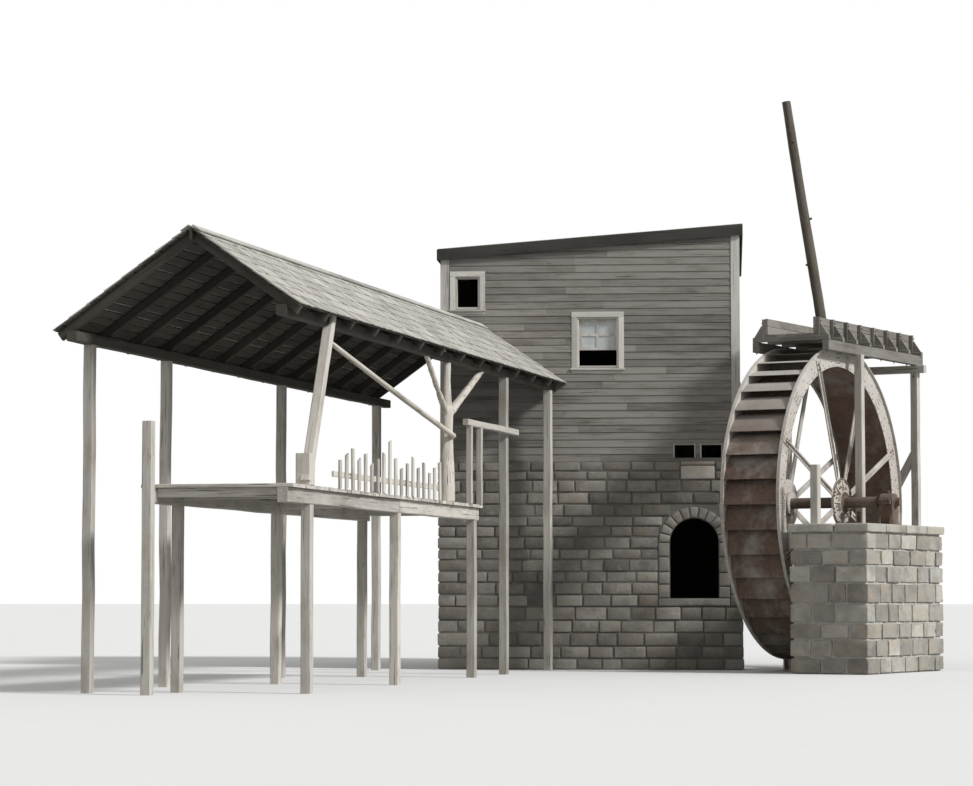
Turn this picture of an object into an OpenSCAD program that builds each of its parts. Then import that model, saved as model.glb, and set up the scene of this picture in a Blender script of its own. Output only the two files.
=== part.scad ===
// Small overshot watermill: a boarded mill house on a stone foundation, a steel
// wheel set askew on a masonry pier, its flume, and an open loading shed on poles.
// The origin is at the foot of the front foundation wall, in its middle.
// X runs right along the front, Y away from the viewer, Z up.

/* [Mill house] */
// Length of the front wall
mill_w = 5360; // [4800:20:6200]
// Depth of the house behind its front
mill_d = 7000; // [5600:50:9000]
// Height of the stone foundation
found_h = 3680; // [3600:20:4000]
// Thickness of the foundation walls
found_t = 400; // [340:10:420]
// Thickness of the boarded frame walls
wall_t = 160; // [120:5:220]
// Set-back of the frame walls from the stone face
wall_inset = 40; // [30:5:80]
// Height of the roof's top over the right wall
roof_high = 7870; // [7600:10:8300]
// Fall of the roof from the right wall to the left
roof_fall = 400; // [100:10:600]
// Thickness of the roof
roof_t = 150; // [100:5:200]
// How far the roof runs past the frame walls
roof_over = 60; // [40:5:150]
// Thickness of the fascia, corner and casing boards
trim_t = 25; // [15:1:40]
// Width of the corner boards
corner_w = 130; // [80:5:140]
// Thickness of the floor
floor_t = 60; // [40:5:100]

/* [Openings] */
// Width of a main window
window_w = 740; // [600:10:900]
// Height of a main window
window_h = 900; // [760:10:1100]
// Sill of the main windows above the foundation
window_sill = 1670; // [1000:10:1900]
// Middle of the front window from the right end of the wall
window_from_right = 2535; // [2000:10:3000]
// Width of the small window
small_w = 440; // [300:10:600]
// Height of the small window
small_h = 580; // [400:10:700]
// Sill of the small window above the foundation
small_sill = 2730; // [2500:10:2800]
// Middle of the small window from the left end of the wall
small_from_left = 500; // [500:10:700]
// Width of a sill vent
vent_w = 390; // [200:10:420]
// Height of a sill vent
vent_h = 250; // [150:10:350]
// Middle of the right sill vent from the right end of the wall
vent_from_right = 530; // [400:10:700]
// Distance between the middles of the two sill vents
vent_pitch = 475; // [450:5:700]
// Width of the doorway in the back wall
door_w = 1000; // [800:10:1200]
// Height of the doorway
door_h = 2050; // [1900:10:2200]
// Middle of the doorway from the right end of the wall
door_from_right = 2000; // [1800:10:2200]
// Middle of the back window from the left end of the wall
back_window_from_left = 1500; // [1000:10:1700]
// Width of the arched opening in the foundation
arch_w = 860; // [600:10:1000]
// Height of the arched opening from its sill to its crown
arch_h = 1410; // [1000:10:1500]
// Height of its sill
arch_sill = 1260; // [800:10:1400]
// Its middle from the right end of the wall
arch_from_right = 840; // [840:10:1300]
// Thickness of the window and door jambs
jamb_t = 35; // [25:1:50]
// Width of the casing round a window
casing_w = 95; // [60:5:130]
// Width of the sash bars
sash_w = 45; // [35:1:60]
// Thickness of the sash
sash_t = 36; // [28:1:45]
// Share of the front window that the raised sash covers
sash_share = 0.66; // [0.5:0.02:0.8]
// Thickness of the glass
glass_t = 6; // [4:1:8]

/* [Wheel] */
// Diameter over the wheel's rim
wheel_dia = 5490; // [5200:10:5600]
// Width of the wheel over its shrouds
wheel_b = 1000; // [800:10:1050]
// Depth of the buckets
bucket_d = 300; // [240:5:360]
// Number of buckets
bucket_n = 40; // [32:1:48]
// Thickness of the bucket plates
bucket_t = 10; // [8:1:14]
// Angle by which a bucket's lip runs ahead of its root
bucket_sweep = 11; // [8:0.5:13]
// Thickness of the shroud plates
shroud_t = 12; // [8:1:20]
// Width of the angle iron round the rim
rim_lip = 45; // [30:1:60]
// Thickness of the sole plate
sole_t = 10; // [8:1:16]
// Number of arms on each side
arm_n = 8; // [6:1:10]
// Width of an arm
arm_w = 110; // [80:5:140]
// Thickness of an arm
arm_t = 20; // [14:1:26]
// Diameter of the hub flange
flange_dia = 860; // [600:10:1000]
// Diameter of the hub boss
boss_dia = 420; // [340:10:500]
// Diameter of the shaft
shaft_dia = 190; // [160:5:220]
// Diameter of the bearing journals
journal_dia = 140; // [110:5:150]
// Height of the axle
axle_z = 2930; // [2880:5:3000]
// Angle between the axle and the front wall
skew = 25; // [20:1:30]
// Wheel's middle right of the right wall
wheel_gap = 1280; // [1240:10:1500]
// Running gap round a journal
journal_gap = 0.8; // [0.5:0.1:0.9]

/* [Pier] */
// Height of the pier with its cap
pier_h = 2500; // [2400:10:2560]
// Width of the pier along the axle
pier_w = 1390; // [1000:10:1600]
// Distance of its inner face from the wheel's middle
pier_in = 700; // [680:10:800]
// Length of the pier in front of the axle
pier_front = 2670; // [2000:10:3000]
// Length of the pier behind the axle
pier_back = 750; // [600:10:1200]
// Thickness of the cap slabs
cap_t = 150; // [100:5:200]
// How far the cap stands out
cap_over = 40; // [20:5:60]
// Width of a bearing block along the axle
bearing_w = 260; // [180:10:300]
// Length of a bearing block across the axle
bearing_l = 440; // [380:10:520]
// Width of the opening for the shaft in the foundation
shaft_hole_w = 900; // [840:10:1100]
// Depth of that opening's sill below the axle
shaft_hole_drop = 400; // [300:10:450]
// Height of that opening above the axle
shaft_hole_rise = 420; // [300:10:500]

/* [Flume] */
// Width of the trough over its sides
trough_w = 950; // [800:10:1000]
// Depth of the trough inside
trough_h = 280; // [200:10:350]
// Thickness of the trough's planks
plank_t = 45; // [35:1:60]
// Gap between the wheel's crown and the flume's joists
crown_gap = 50; // [40:5:80]
// Size of the joists under the trough
joist_s = 80; // [60:5:100]
// Depth of the two stringers
stringer_h = 180; // [140:10:220]
// Thickness of the stringers
stringer_t = 120; // [100:5:140]
// Gap between the wheel's side and a stringer
side_gap = 55; // [30:5:90]
// Length of the flume in front of the axle
flume_front = 1000; // [700:10:1300]
// Length of the flume behind the axle
flume_back = 3400; // [3330:10:3800]
// Middle of the side posts behind the axle
side_post_v = 330; // [320:10:500]
// Middle of the rear bent behind the axle
bent_v = 3150; // [3050:10:3200]
// Height of the bent's girt
girt_z = 1500; // [1000:20:2200]
// Size of the square posts
post_s = 140; // [110:5:170]
// Diameter of the leaning spar
spar_dia = 230; // [180:10:280]
// Length of the leaning spar
spar_l = 10860; // [9000:20:12000]
// Lean of the spar
spar_lean = 9.2; // [5:0.1:10]
// Foot of the spar from the wheel's middle, towards the mill
spar_foot = 240; // [200:10:280]
// Height of the stub post on the pier
stub_h = 1000; // [600:10:1200]

/* [Loading shed] */
// Angle between the shed and the mill's side
shed_skew = 10; // [8:1:12]
// Front eave's meeting with the mill from the right end of its wall
shed_from_right = 3100; // [3050:10:3400]
// Length of the shed
shed_l = 15250; // [13500:50:16500]
// Width of the shed over its eaves
shed_w = 3400; // [3300:10:3800]
// Run of the short front slope
shed_run = 1500; // [1200:10:1800]
// Pitch of both slopes
shed_pitch = 35; // [30:1:38]
// Height of the front eave
shed_eave_z = 5100; // [5000:10:5200]
// Vertical thickness of the roof covering
cover_t = 60; // [40:5:80]
// Vertical depth of the rafters
rafter_d = 150; // [110:5:180]
// Thickness of the rafters
rafter_t = 80; // [60:5:100]
// Number of rafter pairs
rafter_n = 13; // [9:1:16]
// Distance of the plates from the eaves
plate_in = 180; // [140:10:260]
// Height of the deck's top
deck_z = 2750; // [2500:10:3000]
// Thickness of the deck
deck_t = 50; // [40:5:70]
// Width of the deck
deck_w = 2100; // [1700:10:2500]
// Near end of the deck from the mill
deck_near = 15150; // [14800:50:16000]
// Far end of the deck from the mill
deck_far = 5400; // [5000:50:5900]
// Depth of the deck's beams
beam_h = 200; // [140:10:240]
// Height of the deck's corner post above the ground
corner_post_h = 3580; // [3200:10:3900]
// Height of the tallest upright on the deck's edge
picket_h = 790; // [600:10:900]
// Width of an upright
picket_w = 110; // [80:5:130]
// Distance between uprights
picket_pitch = 300; // [240:10:400]
// Leaning post's head from the near end of the deck
lean_in = 1750; // [1600:10:1900]
// Leaning post's foot from its head, along the deck
lean_foot = 1000; // [600:10:1100]
// Forked trunk from the far end of the deck
trunk_in = 1690; // [1500:10:1900]
// First upright from the trunk
picket_gap = 800; // [600:10:1000]
// Reach of the fork's slender limb
limb_near = 1240; // [1000:10:1400]
// Reach of the fork's stout limb
limb_far = 2200; // [2000:10:2300]
// Diameter of the forked trunk at its foot
trunk_dia = 270; // [220:10:320]
// Height of the fork above the deck
fork_h = 1440; // [1200:10:1600]
// Top of the landing's rail near the mill
landing_z = 4080; // [3800:10:4200]
// Size of the landing's rail and uprights
landing_s = 90; // [70:5:110]
// Reach of the landing's rail over the deck
landing_near = 1000; // [800:10:1200]
// Reach of the landing's rail beyond the deck
landing_far = 2300; // [2200:10:2500]
// Second upright of the landing from the deck's end
landing_post = 800; // [600:10:900]

/* [Hidden] */
$fn = 96;
// Small overlap that makes cuts run clear of a face
cut = 10;
// Hair gap where a round piece lies against another
hair = 0.3;

// Mill house, derived
front_y = -found_t / 2;
back_y = front_y + mill_d;
mill_right = mill_w / 2;
mill_left = -mill_w / 2;
wall_right_x = mill_right - wall_inset;
wall_left_x = mill_left + wall_inset;
wall_front_y = front_y + wall_inset;
wall_back_y = back_y - wall_inset;
function roof_top(x) = roof_high - roof_fall * (mill_right - x) / mill_w;
function roof_under(x) = roof_top(x) - roof_t;

// Wheel, derived
wheel_r = wheel_dia / 2;
sole_r = wheel_r - bucket_d;
shroud_in_r = sole_r - 60;
axle_x = mill_right + wheel_gap;
axle_y = front_y;
flange_t = 30;
boss_l = 150;
outer_u = pier_in + pier_w / 2;
inner_u = -(wheel_gap + found_t / 2) / cos(skew);
journal_l = bearing_w + 120;
shaft_out = outer_u + journal_l / 2 + 30;
shaft_in = inner_u - 760;
inner_bearing_y = axle_y + (wheel_gap + found_t / 2) * tan(skew);
shaft_sill = axle_z - shaft_hole_drop;

// Flume, derived
joist_z = axle_z + wheel_r + crown_gap;
stringer_u = wheel_b / 2 + rim_lip + side_gap;
stringer_z = joist_z - stringer_h;
trough_z = joist_z + joist_s;
flume_l = flume_front + flume_back;
post_u = max(stringer_u + stringer_t / 2, pier_in - cap_over + post_s / 2);

// Shed, derived
rise = tan(shed_pitch);
ridge_x = -shed_run;
ridge_z = shed_eave_z + shed_run * rise;
function shed_top(x) = x > ridge_x ? shed_eave_z - x * rise : ridge_z + (x - ridge_x) * rise;
function shed_under(x) = shed_top(x) - cover_t;
function rafter_under(x) = shed_under(x) - rafter_d;
plate_front_x = -plate_in - post_s / 2;
plate_rear_x = -shed_w + plate_in + post_s / 2;
plate_front_top = rafter_under(plate_front_x) - hair;
plate_rear_top = rafter_under(plate_rear_x) - hair;
deck_front_x = plate_front_x + post_s;
deck_rear_x = deck_front_x - deck_w + post_s;
deck_beam_top = deck_z - deck_t;
leg_rows = [deck_near - 1050, (deck_near + deck_far) / 2 - 335, deck_far + 200];
trunk_y = deck_far + trunk_in;
lean_y = deck_near - lean_in;
wall_cut_y = wall_front_y - trim_t;

timber = "#6e675c";
boards = "#7d776c";
stone = "#8b877c";
dark_stone = "#66635b";
iron = "#4b4744";
rust = "#6b5a4e";

// Box between two corners
module span(a, b) {
    translate(a) cube(b - a);
}

// Upright profile in X and Z, drawn out along Y from y0 to y1
module along_y(points, y0, y1) {
    translate([0, y1, 0]) rotate([90, 0, 0]) linear_extrude(y1 - y0) polygon(points);
}

// Upright profile in Y and Z, drawn out along X from x0 to x1
module along_x(points, x0, x1) {
    translate([x0, 0, 0]) rotate([90, 0, 90]) linear_extrude(x1 - x0) polygon(points);
}

// Everything above the roof's underside, down to a hair below it
module above_roof(extra = 400) {
    l = mill_left - extra;
    r = mill_right + extra;
    along_y([[l, roof_under(l) - hair], [r, roof_under(r) - hair], [r, 2 * roof_high],
             [l, 2 * roof_high]], front_y - extra, back_y + extra);
}

// Puts a piece in the wheel's frame, whose X is the axle and Y the run of the flume
module wheel_place() {
    translate([axle_x, axle_y, 0]) rotate([0, 0, -skew]) children();
}

// Puts a turned piece on the axle, with its own Z along the axle
module on_axle(u = 0) {
    wheel_place() translate([u, 0, axle_z]) rotate([0, 90, 0]) children();
}

// Puts a piece in the shed's frame, whose X is 0 at the front eave and Y 0 at the mill
module shed_place() {
    translate([mill_right - shed_from_right, front_y, 0]) rotate([0, 0, -shed_skew]) children();
}

// Trims a piece of the shed at the mill's front wall
module cut_at_mill() {
    difference() {
        children();
        span([-2 * mill_w, wall_cut_y, -cut], [2 * mill_w, back_y, roof_high]);
    }
}

// Foundation

arch_x = mill_right - max(arch_from_right, found_t + arch_w / 2 + cut);
module arch_hole() {
    r = arch_w / 2;
    translate([arch_x, front_y + found_t + cut, arch_sill])
        rotate([90, 0, 0]) linear_extrude(found_t + 2 * cut) union() {
            translate([-r, 0]) square([arch_w, arch_h - r]);
            translate([0, arch_h - r]) circle(r);
        }
}

module foundation_front() {
    color(dark_stone) difference() {
        span([mill_left, front_y, 0], [mill_right, front_y + found_t, found_h]);
        arch_hole();
    }
}

module foundation_back() {
    color(dark_stone) span([mill_left, back_y - found_t, 0], [mill_right, back_y, found_h]);
}

module foundation_left() {
    color(dark_stone)
        span([mill_left, front_y + found_t, 0], [mill_left + found_t, back_y - found_t, found_h]);
}

module foundation_right() {
    color(dark_stone) difference() {
        span([mill_right - found_t, front_y + found_t, 0], [mill_right, back_y - found_t, found_h]);
        translate([mill_right - found_t - cut, inner_bearing_y - shaft_hole_w / 2, shaft_sill])
            cube([found_t + 2 * cut, shaft_hole_w, shaft_hole_drop + shaft_hole_rise]);
    }
}

// Frame walls. A wall opening is given by its middle, its sill and its size

module hole_in_front(x, z, w, h) {
    translate([x - w / 2, wall_front_y - cut, z]) cube([w, wall_t + 2 * cut, h]);
}

module hole_in_back(x, z, w, h) {
    translate([x - w / 2, wall_back_y - wall_t - cut, z]) cube([w, wall_t + 2 * cut, h]);
}

module hole_in_side(x, y, z, w, h) {
    translate([x - cut, y - w / 2, z]) cube([wall_t + 2 * cut, w, h]);
}

main_sill_z = found_h + window_sill;
small_sill_z = found_h + small_sill;
window_x = mill_right - window_from_right;
small_x = mill_left + small_from_left;
vent_x = mill_right - vent_from_right;
vent_z = found_h + 60;
side_window_y = front_y + mill_d * 0.6;
back_window_x = mill_left + back_window_from_left;
door_x = mill_right - door_from_right;
door_z = found_h + floor_t;

module end_wall(y0) {
    along_y([[wall_left_x, found_h], [wall_right_x, found_h],
             [wall_right_x, roof_under(wall_right_x) - hair],
             [wall_left_x, roof_under(wall_left_x) - hair]],
            y0, y0 + wall_t);
}

module side_wall(x0) {
    x1 = x0 + wall_t;
    along_y([[x0, found_h], [x1, found_h], [x1, roof_under(x1) - hair], [x0, roof_under(x0) - hair]],
            wall_front_y + wall_t, wall_back_y - wall_t);
}

module wall_front() {
    color(boards) difference() {
        end_wall(wall_front_y);
        hole_in_front(window_x, main_sill_z, window_w, window_h);
        hole_in_front(small_x, small_sill_z, small_w, small_h);
        for (i = [0, 1]) hole_in_front(vent_x - i * vent_pitch, vent_z, vent_w, vent_h);
    }
}

module wall_back() {
    color(boards) difference() {
        end_wall(wall_back_y - wall_t);
        hole_in_back(back_window_x, main_sill_z, window_w, window_h);
        hole_in_back(door_x, door_z, door_w, door_h);
    }
}

module wall_right() {
    color(boards) difference() {
        side_wall(wall_right_x - wall_t);
        hole_in_side(wall_right_x - wall_t, side_window_y, main_sill_z, window_w, window_h);
    }
}

module wall_left() {
    color(boards) difference() {
        side_wall(wall_left_x);
        hole_in_side(wall_left_x, side_window_y, main_sill_z, window_w, window_h);
    }
}

module main_floor() {
    color(timber) span([wall_left_x + wall_t, wall_front_y + wall_t, found_h],
                       [wall_right_x - wall_t, wall_back_y - wall_t, found_h + floor_t]);
}

// Roof and trim

module roof_prism(grow, up, down) {
    l = wall_left_x - roof_over - grow;
    r = wall_right_x + roof_over + grow;
    along_y([[l, roof_under(l) - down], [r, roof_under(r) - down],
             [r, roof_top(r) + up], [l, roof_top(l) + up]],
            wall_front_y - roof_over - grow, wall_back_y + roof_over + grow);
}

module roof() {
    color("#5f5b55") roof_prism(0, 0, 0);
}

module fascia() {
    color(timber) difference() {
        roof_prism(trim_t, 8, 30);
        roof_prism(0, 600, 600);
    }
}

module corner_profile() {
    difference() {
        translate([-trim_t, -trim_t]) square(corner_w + trim_t);
        square(2 * corner_w);
    }
}

module corner_boards() {
    color(timber) difference() {
        for (sx = [0, 1]) for (sy = [0, 1])
            translate([sx == 0 ? wall_left_x : wall_right_x,
                       sy == 0 ? wall_front_y : wall_back_y, found_h])
                mirror([sx, 0, 0]) mirror([0, sy, 0])
                    linear_extrude(roof_high - found_h) corner_profile();
        above_roof();
    }
}

// Windows, drawn facing -Y with their sill's middle at the origin on the wall's face

module frame_piece(w, h) {
    difference() {
        union() {
            translate([-w / 2, 0, 0]) cube([w, wall_t, h]);
            translate([-w / 2 - casing_w, -trim_t, -casing_w])
                cube([w + 2 * casing_w, trim_t, h + 2 * casing_w]);
        }
        translate([-w / 2 + jamb_t, -trim_t - cut, jamb_t])
            cube([w - 2 * jamb_t, wall_t + trim_t + 2 * cut, h - 2 * jamb_t]);
    }
}

// Sash of clear width w and height h, with one upright and cross bars
module sash_piece(w, h, rows) {
    pane_w = (w - 3 * sash_w) / 2;
    pane_h = (h - (rows + 1) * sash_w) / rows;
    difference() {
        translate([-w / 2, 0, 0]) cube([w, sash_t, h]);
        for (i = [0, 1]) for (k = [0 : rows - 1])
            translate([-w / 2 + sash_w + i * (pane_w + sash_w), -cut,
                       sash_w + k * (pane_h + sash_w)])
                cube([pane_w, sash_t + 2 * cut, pane_h]);
    }
}

module glass_piece(w, h, rows) {
    pane_w = (w - 3 * sash_w) / 2;
    pane_h = (h - (rows + 1) * sash_w) / rows;
    for (i = [0, 1]) for (k = [0 : rows - 1])
        translate([-w / 2 + sash_w + i * (pane_w + sash_w), (sash_t - glass_t) / 2,
                   sash_w + k * (pane_h + sash_w)])
            cube([pane_w, glass_t, pane_h]);
}

// The front window's sash is raised, so its lower part is open
clear_w = window_w - 2 * jamb_t;
clear_h = window_h - 2 * jamb_t;
raised_h = clear_h * sash_share;
sash_in = 60;

module in_front(x, z) {
    translate([x, wall_front_y, z]) children();
}

module in_back(x, z) {
    translate([x, wall_back_y, z]) rotate([0, 0, 180]) children();
}

module in_right(y, z) {
    translate([wall_right_x, y, z]) rotate([0, 0, 90]) children();
}

module in_left(y, z) {
    translate([wall_left_x, y, z]) rotate([0, 0, -90]) children();
}

module in_each_closed_window() {
    in_back(back_window_x, main_sill_z) children();
    in_right(side_window_y, main_sill_z) children();
    in_left(side_window_y, main_sill_z) children();
}

module window_frames() {
    color(timber) {
        in_front(window_x, main_sill_z) frame_piece(window_w, window_h);
        in_front(small_x, small_sill_z) frame_piece(small_w, small_h);
        in_each_closed_window() frame_piece(window_w, window_h);
    }
}

module window_sashes() {
    color("#8f897d") {
        in_front(window_x, main_sill_z)
            translate([0, sash_in, jamb_t + clear_h - raised_h]) sash_piece(clear_w, raised_h, 2);
        in_each_closed_window() translate([0, sash_in, jamb_t]) sash_piece(clear_w, clear_h, 3);
    }
}

module window_glass() {
    color("#b9c0c0") {
        in_front(window_x, main_sill_z)
            translate([0, sash_in, jamb_t + clear_h - raised_h]) glass_piece(clear_w, raised_h, 2);
        in_each_closed_window() translate([0, sash_in, jamb_t]) glass_piece(clear_w, clear_h, 3);
    }
}

module door_frame() {
    color(timber) in_back(door_x, door_z) difference() {
        union() {
            translate([-door_w / 2, 0, 0]) cube([door_w, wall_t, door_h]);
            translate([-door_w / 2 - casing_w, -trim_t, 0])
                cube([door_w + 2 * casing_w, trim_t, door_h + casing_w]);
        }
        translate([-door_w / 2 + jamb_t, -trim_t - cut, -cut])
            cube([door_w - 2 * jamb_t, wall_t + trim_t + 2 * cut, door_h - jamb_t + cut]);
    }
}

// Wheel

module wheel_shaft() {
    body_in = inner_u + journal_l / 2;
    body_out = outer_u - journal_l / 2;
    color(iron) {
        on_axle(shaft_in) cylinder(d = shaft_dia, h = inner_u - journal_l / 2 - shaft_in);
        on_axle(inner_u - journal_l / 2 - 1) cylinder(d = journal_dia, h = journal_l + 2);
        on_axle(body_in) cylinder(d = shaft_dia, h = body_out - body_in);
        on_axle(body_out - 1) cylinder(d = journal_dia, h = shaft_out - body_out + 1);
    }
}

// Hub with its flange and arms. The arms lie on the outer face of a shroud
module spider() {
    difference() {
        union() {
            cylinder(d = flange_dia, h = flange_t);
            translate([0, 0, arm_t + 60 - boss_l]) cylinder(d = boss_dia, h = boss_l);
            for (i = [0 : arm_n - 1]) rotate([0, 0, (i + 0.5) * 360 / arm_n])
                translate([boss_dia / 2 - 20, -arm_w / 2, 0])
                    cube([wheel_r - 90 - boss_dia / 2 + 20, arm_w, arm_t]);
        }
        translate([0, 0, -boss_l - cut]) cylinder(d = shaft_dia + 2 * hair, h = 2 * boss_l + 2 * cut);
    }
}

module near_spider() {
    color(iron) on_axle(wheel_b / 2) spider();
}

module far_spider() {
    color(iron) on_axle(-wheel_b / 2) mirror([0, 0, 1]) spider();
}

// Shroud plate with the angle iron of the rim, its inner face at z = 0
module shroud() {
    rotate_extrude() polygon([[shroud_in_r, -shroud_t], [wheel_r, -shroud_t], [wheel_r, rim_lip],
                              [wheel_r - shroud_t, rim_lip], [wheel_r - shroud_t, 0],
                              [shroud_in_r, 0]]);
}

module near_shroud() {
    color(rust) on_axle(wheel_b / 2) shroud();
}

module far_shroud() {
    color(rust) on_axle(-wheel_b / 2) mirror([0, 0, 1]) shroud();
}

inner_w = wheel_b - 2 * shroud_t;

module sole_plate() {
    color(rust) on_axle(-inner_w / 2) difference() {
        cylinder(r = sole_r, h = inner_w);
        translate([0, 0, -cut]) cylinder(r = sole_r - sole_t, h = inner_w + 2 * cut);
    }
}

// Bucket plate: it leaves the sole square and sweeps round to the rim
bucket_steps = 8;
bucket_root = sole_r + hair;
function bucket_r(s) = bucket_root + (wheel_r - 12 - bucket_root) * s;
function bucket_a(s) = bucket_sweep * pow(s, 2.2);
function polar(r, a) = [r * cos(a), r * sin(a)];
bucket_line = [for (i = [0 : bucket_steps]) i / bucket_steps];

module bucket_profile() {
    polygon(concat(
        [for (s = bucket_line) polar(bucket_r(s), bucket_a(s))],
        [for (i = [bucket_steps : -1 : 0])
            let (s = bucket_line[i], r = bucket_r(s)) polar(r, bucket_a(s) - bucket_t * 57.3 / r)]));
}

module buckets() {
    color(rust) on_axle(-inner_w / 2)
        for (i = [0 : bucket_n - 1]) rotate([0, 0, i * 360 / bucket_n])
            linear_extrude(inner_w) bucket_profile();
}

// Pier and bearings

module outer_pier() {
    color(stone) wheel_place()
        span([pier_in, -pier_front, 0], [pier_in + pier_w, pier_back, pier_h - cap_t]);
}

module pier_cap() {
    color(stone) wheel_place()
        span([pier_in - cap_over, -pier_front - cap_over, pier_h - cap_t],
             [pier_in + pier_w + cap_over, pier_back + cap_over, pier_h]);
}

module stub_post() {
    color(timber) wheel_place()
        translate([pier_in + 330, -pier_front + 100, pier_h]) cube([post_s, post_s, stub_h]);
}

// Bearing block round the axle, standing on a seat at height z0
module bearing(u, z0) {
    top = axle_z + journal_dia / 2 + 75;
    difference() {
        wheel_place() translate([u - bearing_w / 2, 0, 0]) {
            translate([0, -bearing_l / 2, z0]) cube([bearing_w, bearing_l, 60]);
            translate([0, -bearing_l / 3, z0]) cube([bearing_w, bearing_l * 2 / 3, top - z0]);
        }
        on_axle(u - bearing_w) cylinder(d = journal_dia + 2 * journal_gap, h = 2 * bearing_w);
    }
}

module outer_bearing() {
    color(iron) bearing(outer_u, pier_h);
}

module inner_bearing() {
    color(iron) bearing(inner_u, shaft_sill);
}

// Flume

module flume_trough() {
    w = trough_w / 2;
    color(boards) wheel_place() translate([0, -flume_front, trough_z]) difference() {
        translate([-w, 0, 0]) cube([trough_w, flume_l, plank_t + trough_h]);
        translate([-w + plank_t, -cut, plank_t])
            cube([trough_w - 2 * plank_t, flume_l + 2 * cut, trough_h + cut]);
    }
}

// Two stringers outside the wheel, with the joists that carry the trough
flume_joists = 8;
module flume_stringers() {
    reach = stringer_u + stringer_t;
    step = (flume_l - joist_s) / (flume_joists - 1);
    color(timber) wheel_place() {
        for (s = [0, 1]) mirror([s, 0, 0])
            span([stringer_u, -flume_front, stringer_z], [reach, flume_back, joist_z]);
        for (i = [0 : flume_joists - 1])
            translate([-reach, -flume_front + i * step, joist_z])
                cube([2 * reach, joist_s, joist_s]);
    }
}

module flume_posts() {
    color(timber) wheel_place() {
        translate([post_u - post_s / 2, side_post_v - post_s / 2, pier_h])
            cube([post_s, post_s, stringer_z - pier_h]);
        translate([-stringer_u - post_s, side_post_v - post_s / 2, 0])
            cube([post_s, post_s, stringer_z]);
    }
}

// Rear bent: two posts, a cap beam, a girt and a brace, all in one plane
module flume_bent() {
    half = stringer_u + stringer_t / 2;
    h = stringer_z - post_s;
    brace_low = girt_z + post_s / 2;
    brace_high = h * 0.72;
    color(timber) wheel_place() translate([0, bent_v - post_s / 2, 0]) {
        for (s = [-1, 1]) translate([s * half - post_s / 2, 0, 0]) cube([post_s, post_s, h]);
        span([-half - 700, 0, h], [half + 200, post_s, stringer_z]);
        span([-half, 0, girt_z], [half, post_s, girt_z + post_s]);
        along_y([[-half, brace_low], [half, brace_high], [half, brace_high + post_s],
                 [-half, brace_low + post_s]], 0, post_s);
    }
}

module leaning_spar() {
    color("#4a4640") wheel_place() intersection() {
        translate([-spar_foot, bent_v + post_s / 2 + spar_dia / 2 + hair, 0])
            rotate([0, -spar_lean, 0]) translate([0, 0, -spar_dia])
                cylinder(d = spar_dia, h = spar_l + spar_dia);
        span([-3 * spar_l, -3 * spar_l, 0], [3 * spar_l, 3 * spar_l, 2 * spar_l]);
    }
}

// Loading shed

module shed_underframe() {
    color(timber) shed_place() {
        for (x = [plate_front_x, deck_rear_x]) {
            for (y = leg_rows) translate([x - post_s / 2, -y - post_s / 2, 0])
                cube([post_s, post_s, deck_beam_top - beam_h]);
            span([x - post_s / 2, -deck_near, deck_beam_top - beam_h],
                 [x + post_s / 2, -deck_far, deck_beam_top]);
        }
        for (y = concat([deck_near - post_s], leg_rows, [deck_far + post_s]))
            span([deck_rear_x, -y - post_s / 2, deck_beam_top - 120],
                 [plate_front_x, -y + post_s / 2, deck_beam_top]);
        translate([deck_rear_x - post_s / 2, -deck_near - post_s, 0])
            cube([post_s, post_s, corner_post_h]);
    }
}

module shed_deck() {
    color(boards) shed_place()
        span([deck_rear_x - post_s, -deck_near, deck_beam_top], [deck_front_x, -deck_far, deck_z]);
}

// Uprights on the deck's front edge, tied by a low rail. The tallest stands in their middle
picket_start = trunk_y + picket_gap;
picket_n = floor((lean_y + 100 - picket_start) / picket_pitch);
picket_tall = floor(picket_n * 0.55);
function picket_top(i) = i == picket_tall ? picket_h : picket_h - 190 - (i * 7 % 5) * 45;
module shed_pickets() {
    x = deck_front_x;
    color(boards) shed_place() {
        for (i = [0 : picket_n - 1])
            translate([x - 30, -picket_start - picket_w - i * picket_pitch, deck_z])
                cube([30, picket_w, picket_top(i)]);
        span([x - 60, -picket_start - picket_n * picket_pitch, deck_z + 150],
             [x - 30, -picket_start, deck_z + 230]);
    }
}

// Front posts: one leans from a block on the deck, halved over the plate. Straight ones follow
front_post_rows = [deck_far * 0.65, 350];
lean_top = plate_front_top - post_s;
function lean_at(z) = lean_y + lean_foot * (lean_top - z) / (lean_top - deck_z);
lean_x = plate_front_x + post_s / 2;
module leaning_post(grow = 0) {
    top = shed_under(deck_front_x) - hair;
    h = post_s / 2 + grow;
    foot = -lean_at(deck_z);
    head = -lean_at(top);
    difference() {
        along_x([[foot - h, deck_z], [foot + h, deck_z], [head + h, top], [head - h, top]],
                lean_x - h, lean_x + h);
        span([lean_x - post_s, -shed_l, lean_top], [lean_x, 0, top + post_s]);
    }
}

block_s = post_s * 1.5;
module shed_front_posts() {
    top = plate_front_top - post_s;
    x = plate_front_x - post_s / 2;
    color(timber) shed_place() {
        leaning_post();
        translate([deck_front_x - block_s, -lean_at(deck_z + block_s) - block_s / 2, deck_z])
            cube([block_s, block_s, block_s * 2]);
        for (y = front_post_rows)
            span([x, -y - post_s / 2, 0], [x + post_s, -y + post_s / 2, top]);
    }
}

// Tapered round limb between two points
module limb(a, b, d1, d2) {
    run = b - a;
    translate(a) rotate([0, acos(run[2] / norm(run)), atan2(run[1], run[0])])
        cylinder(d1 = d1, d2 = d2, h = norm(run));
}

// Tree trunk that forks under the plate
fork_z = deck_z + fork_h;
module trunk(grow = 0) {
    translate([plate_front_x, -trunk_y, deck_z])
        cylinder(d1 = trunk_dia + grow, d2 = trunk_dia * 0.78 + grow, h = fork_h);
}

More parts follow.
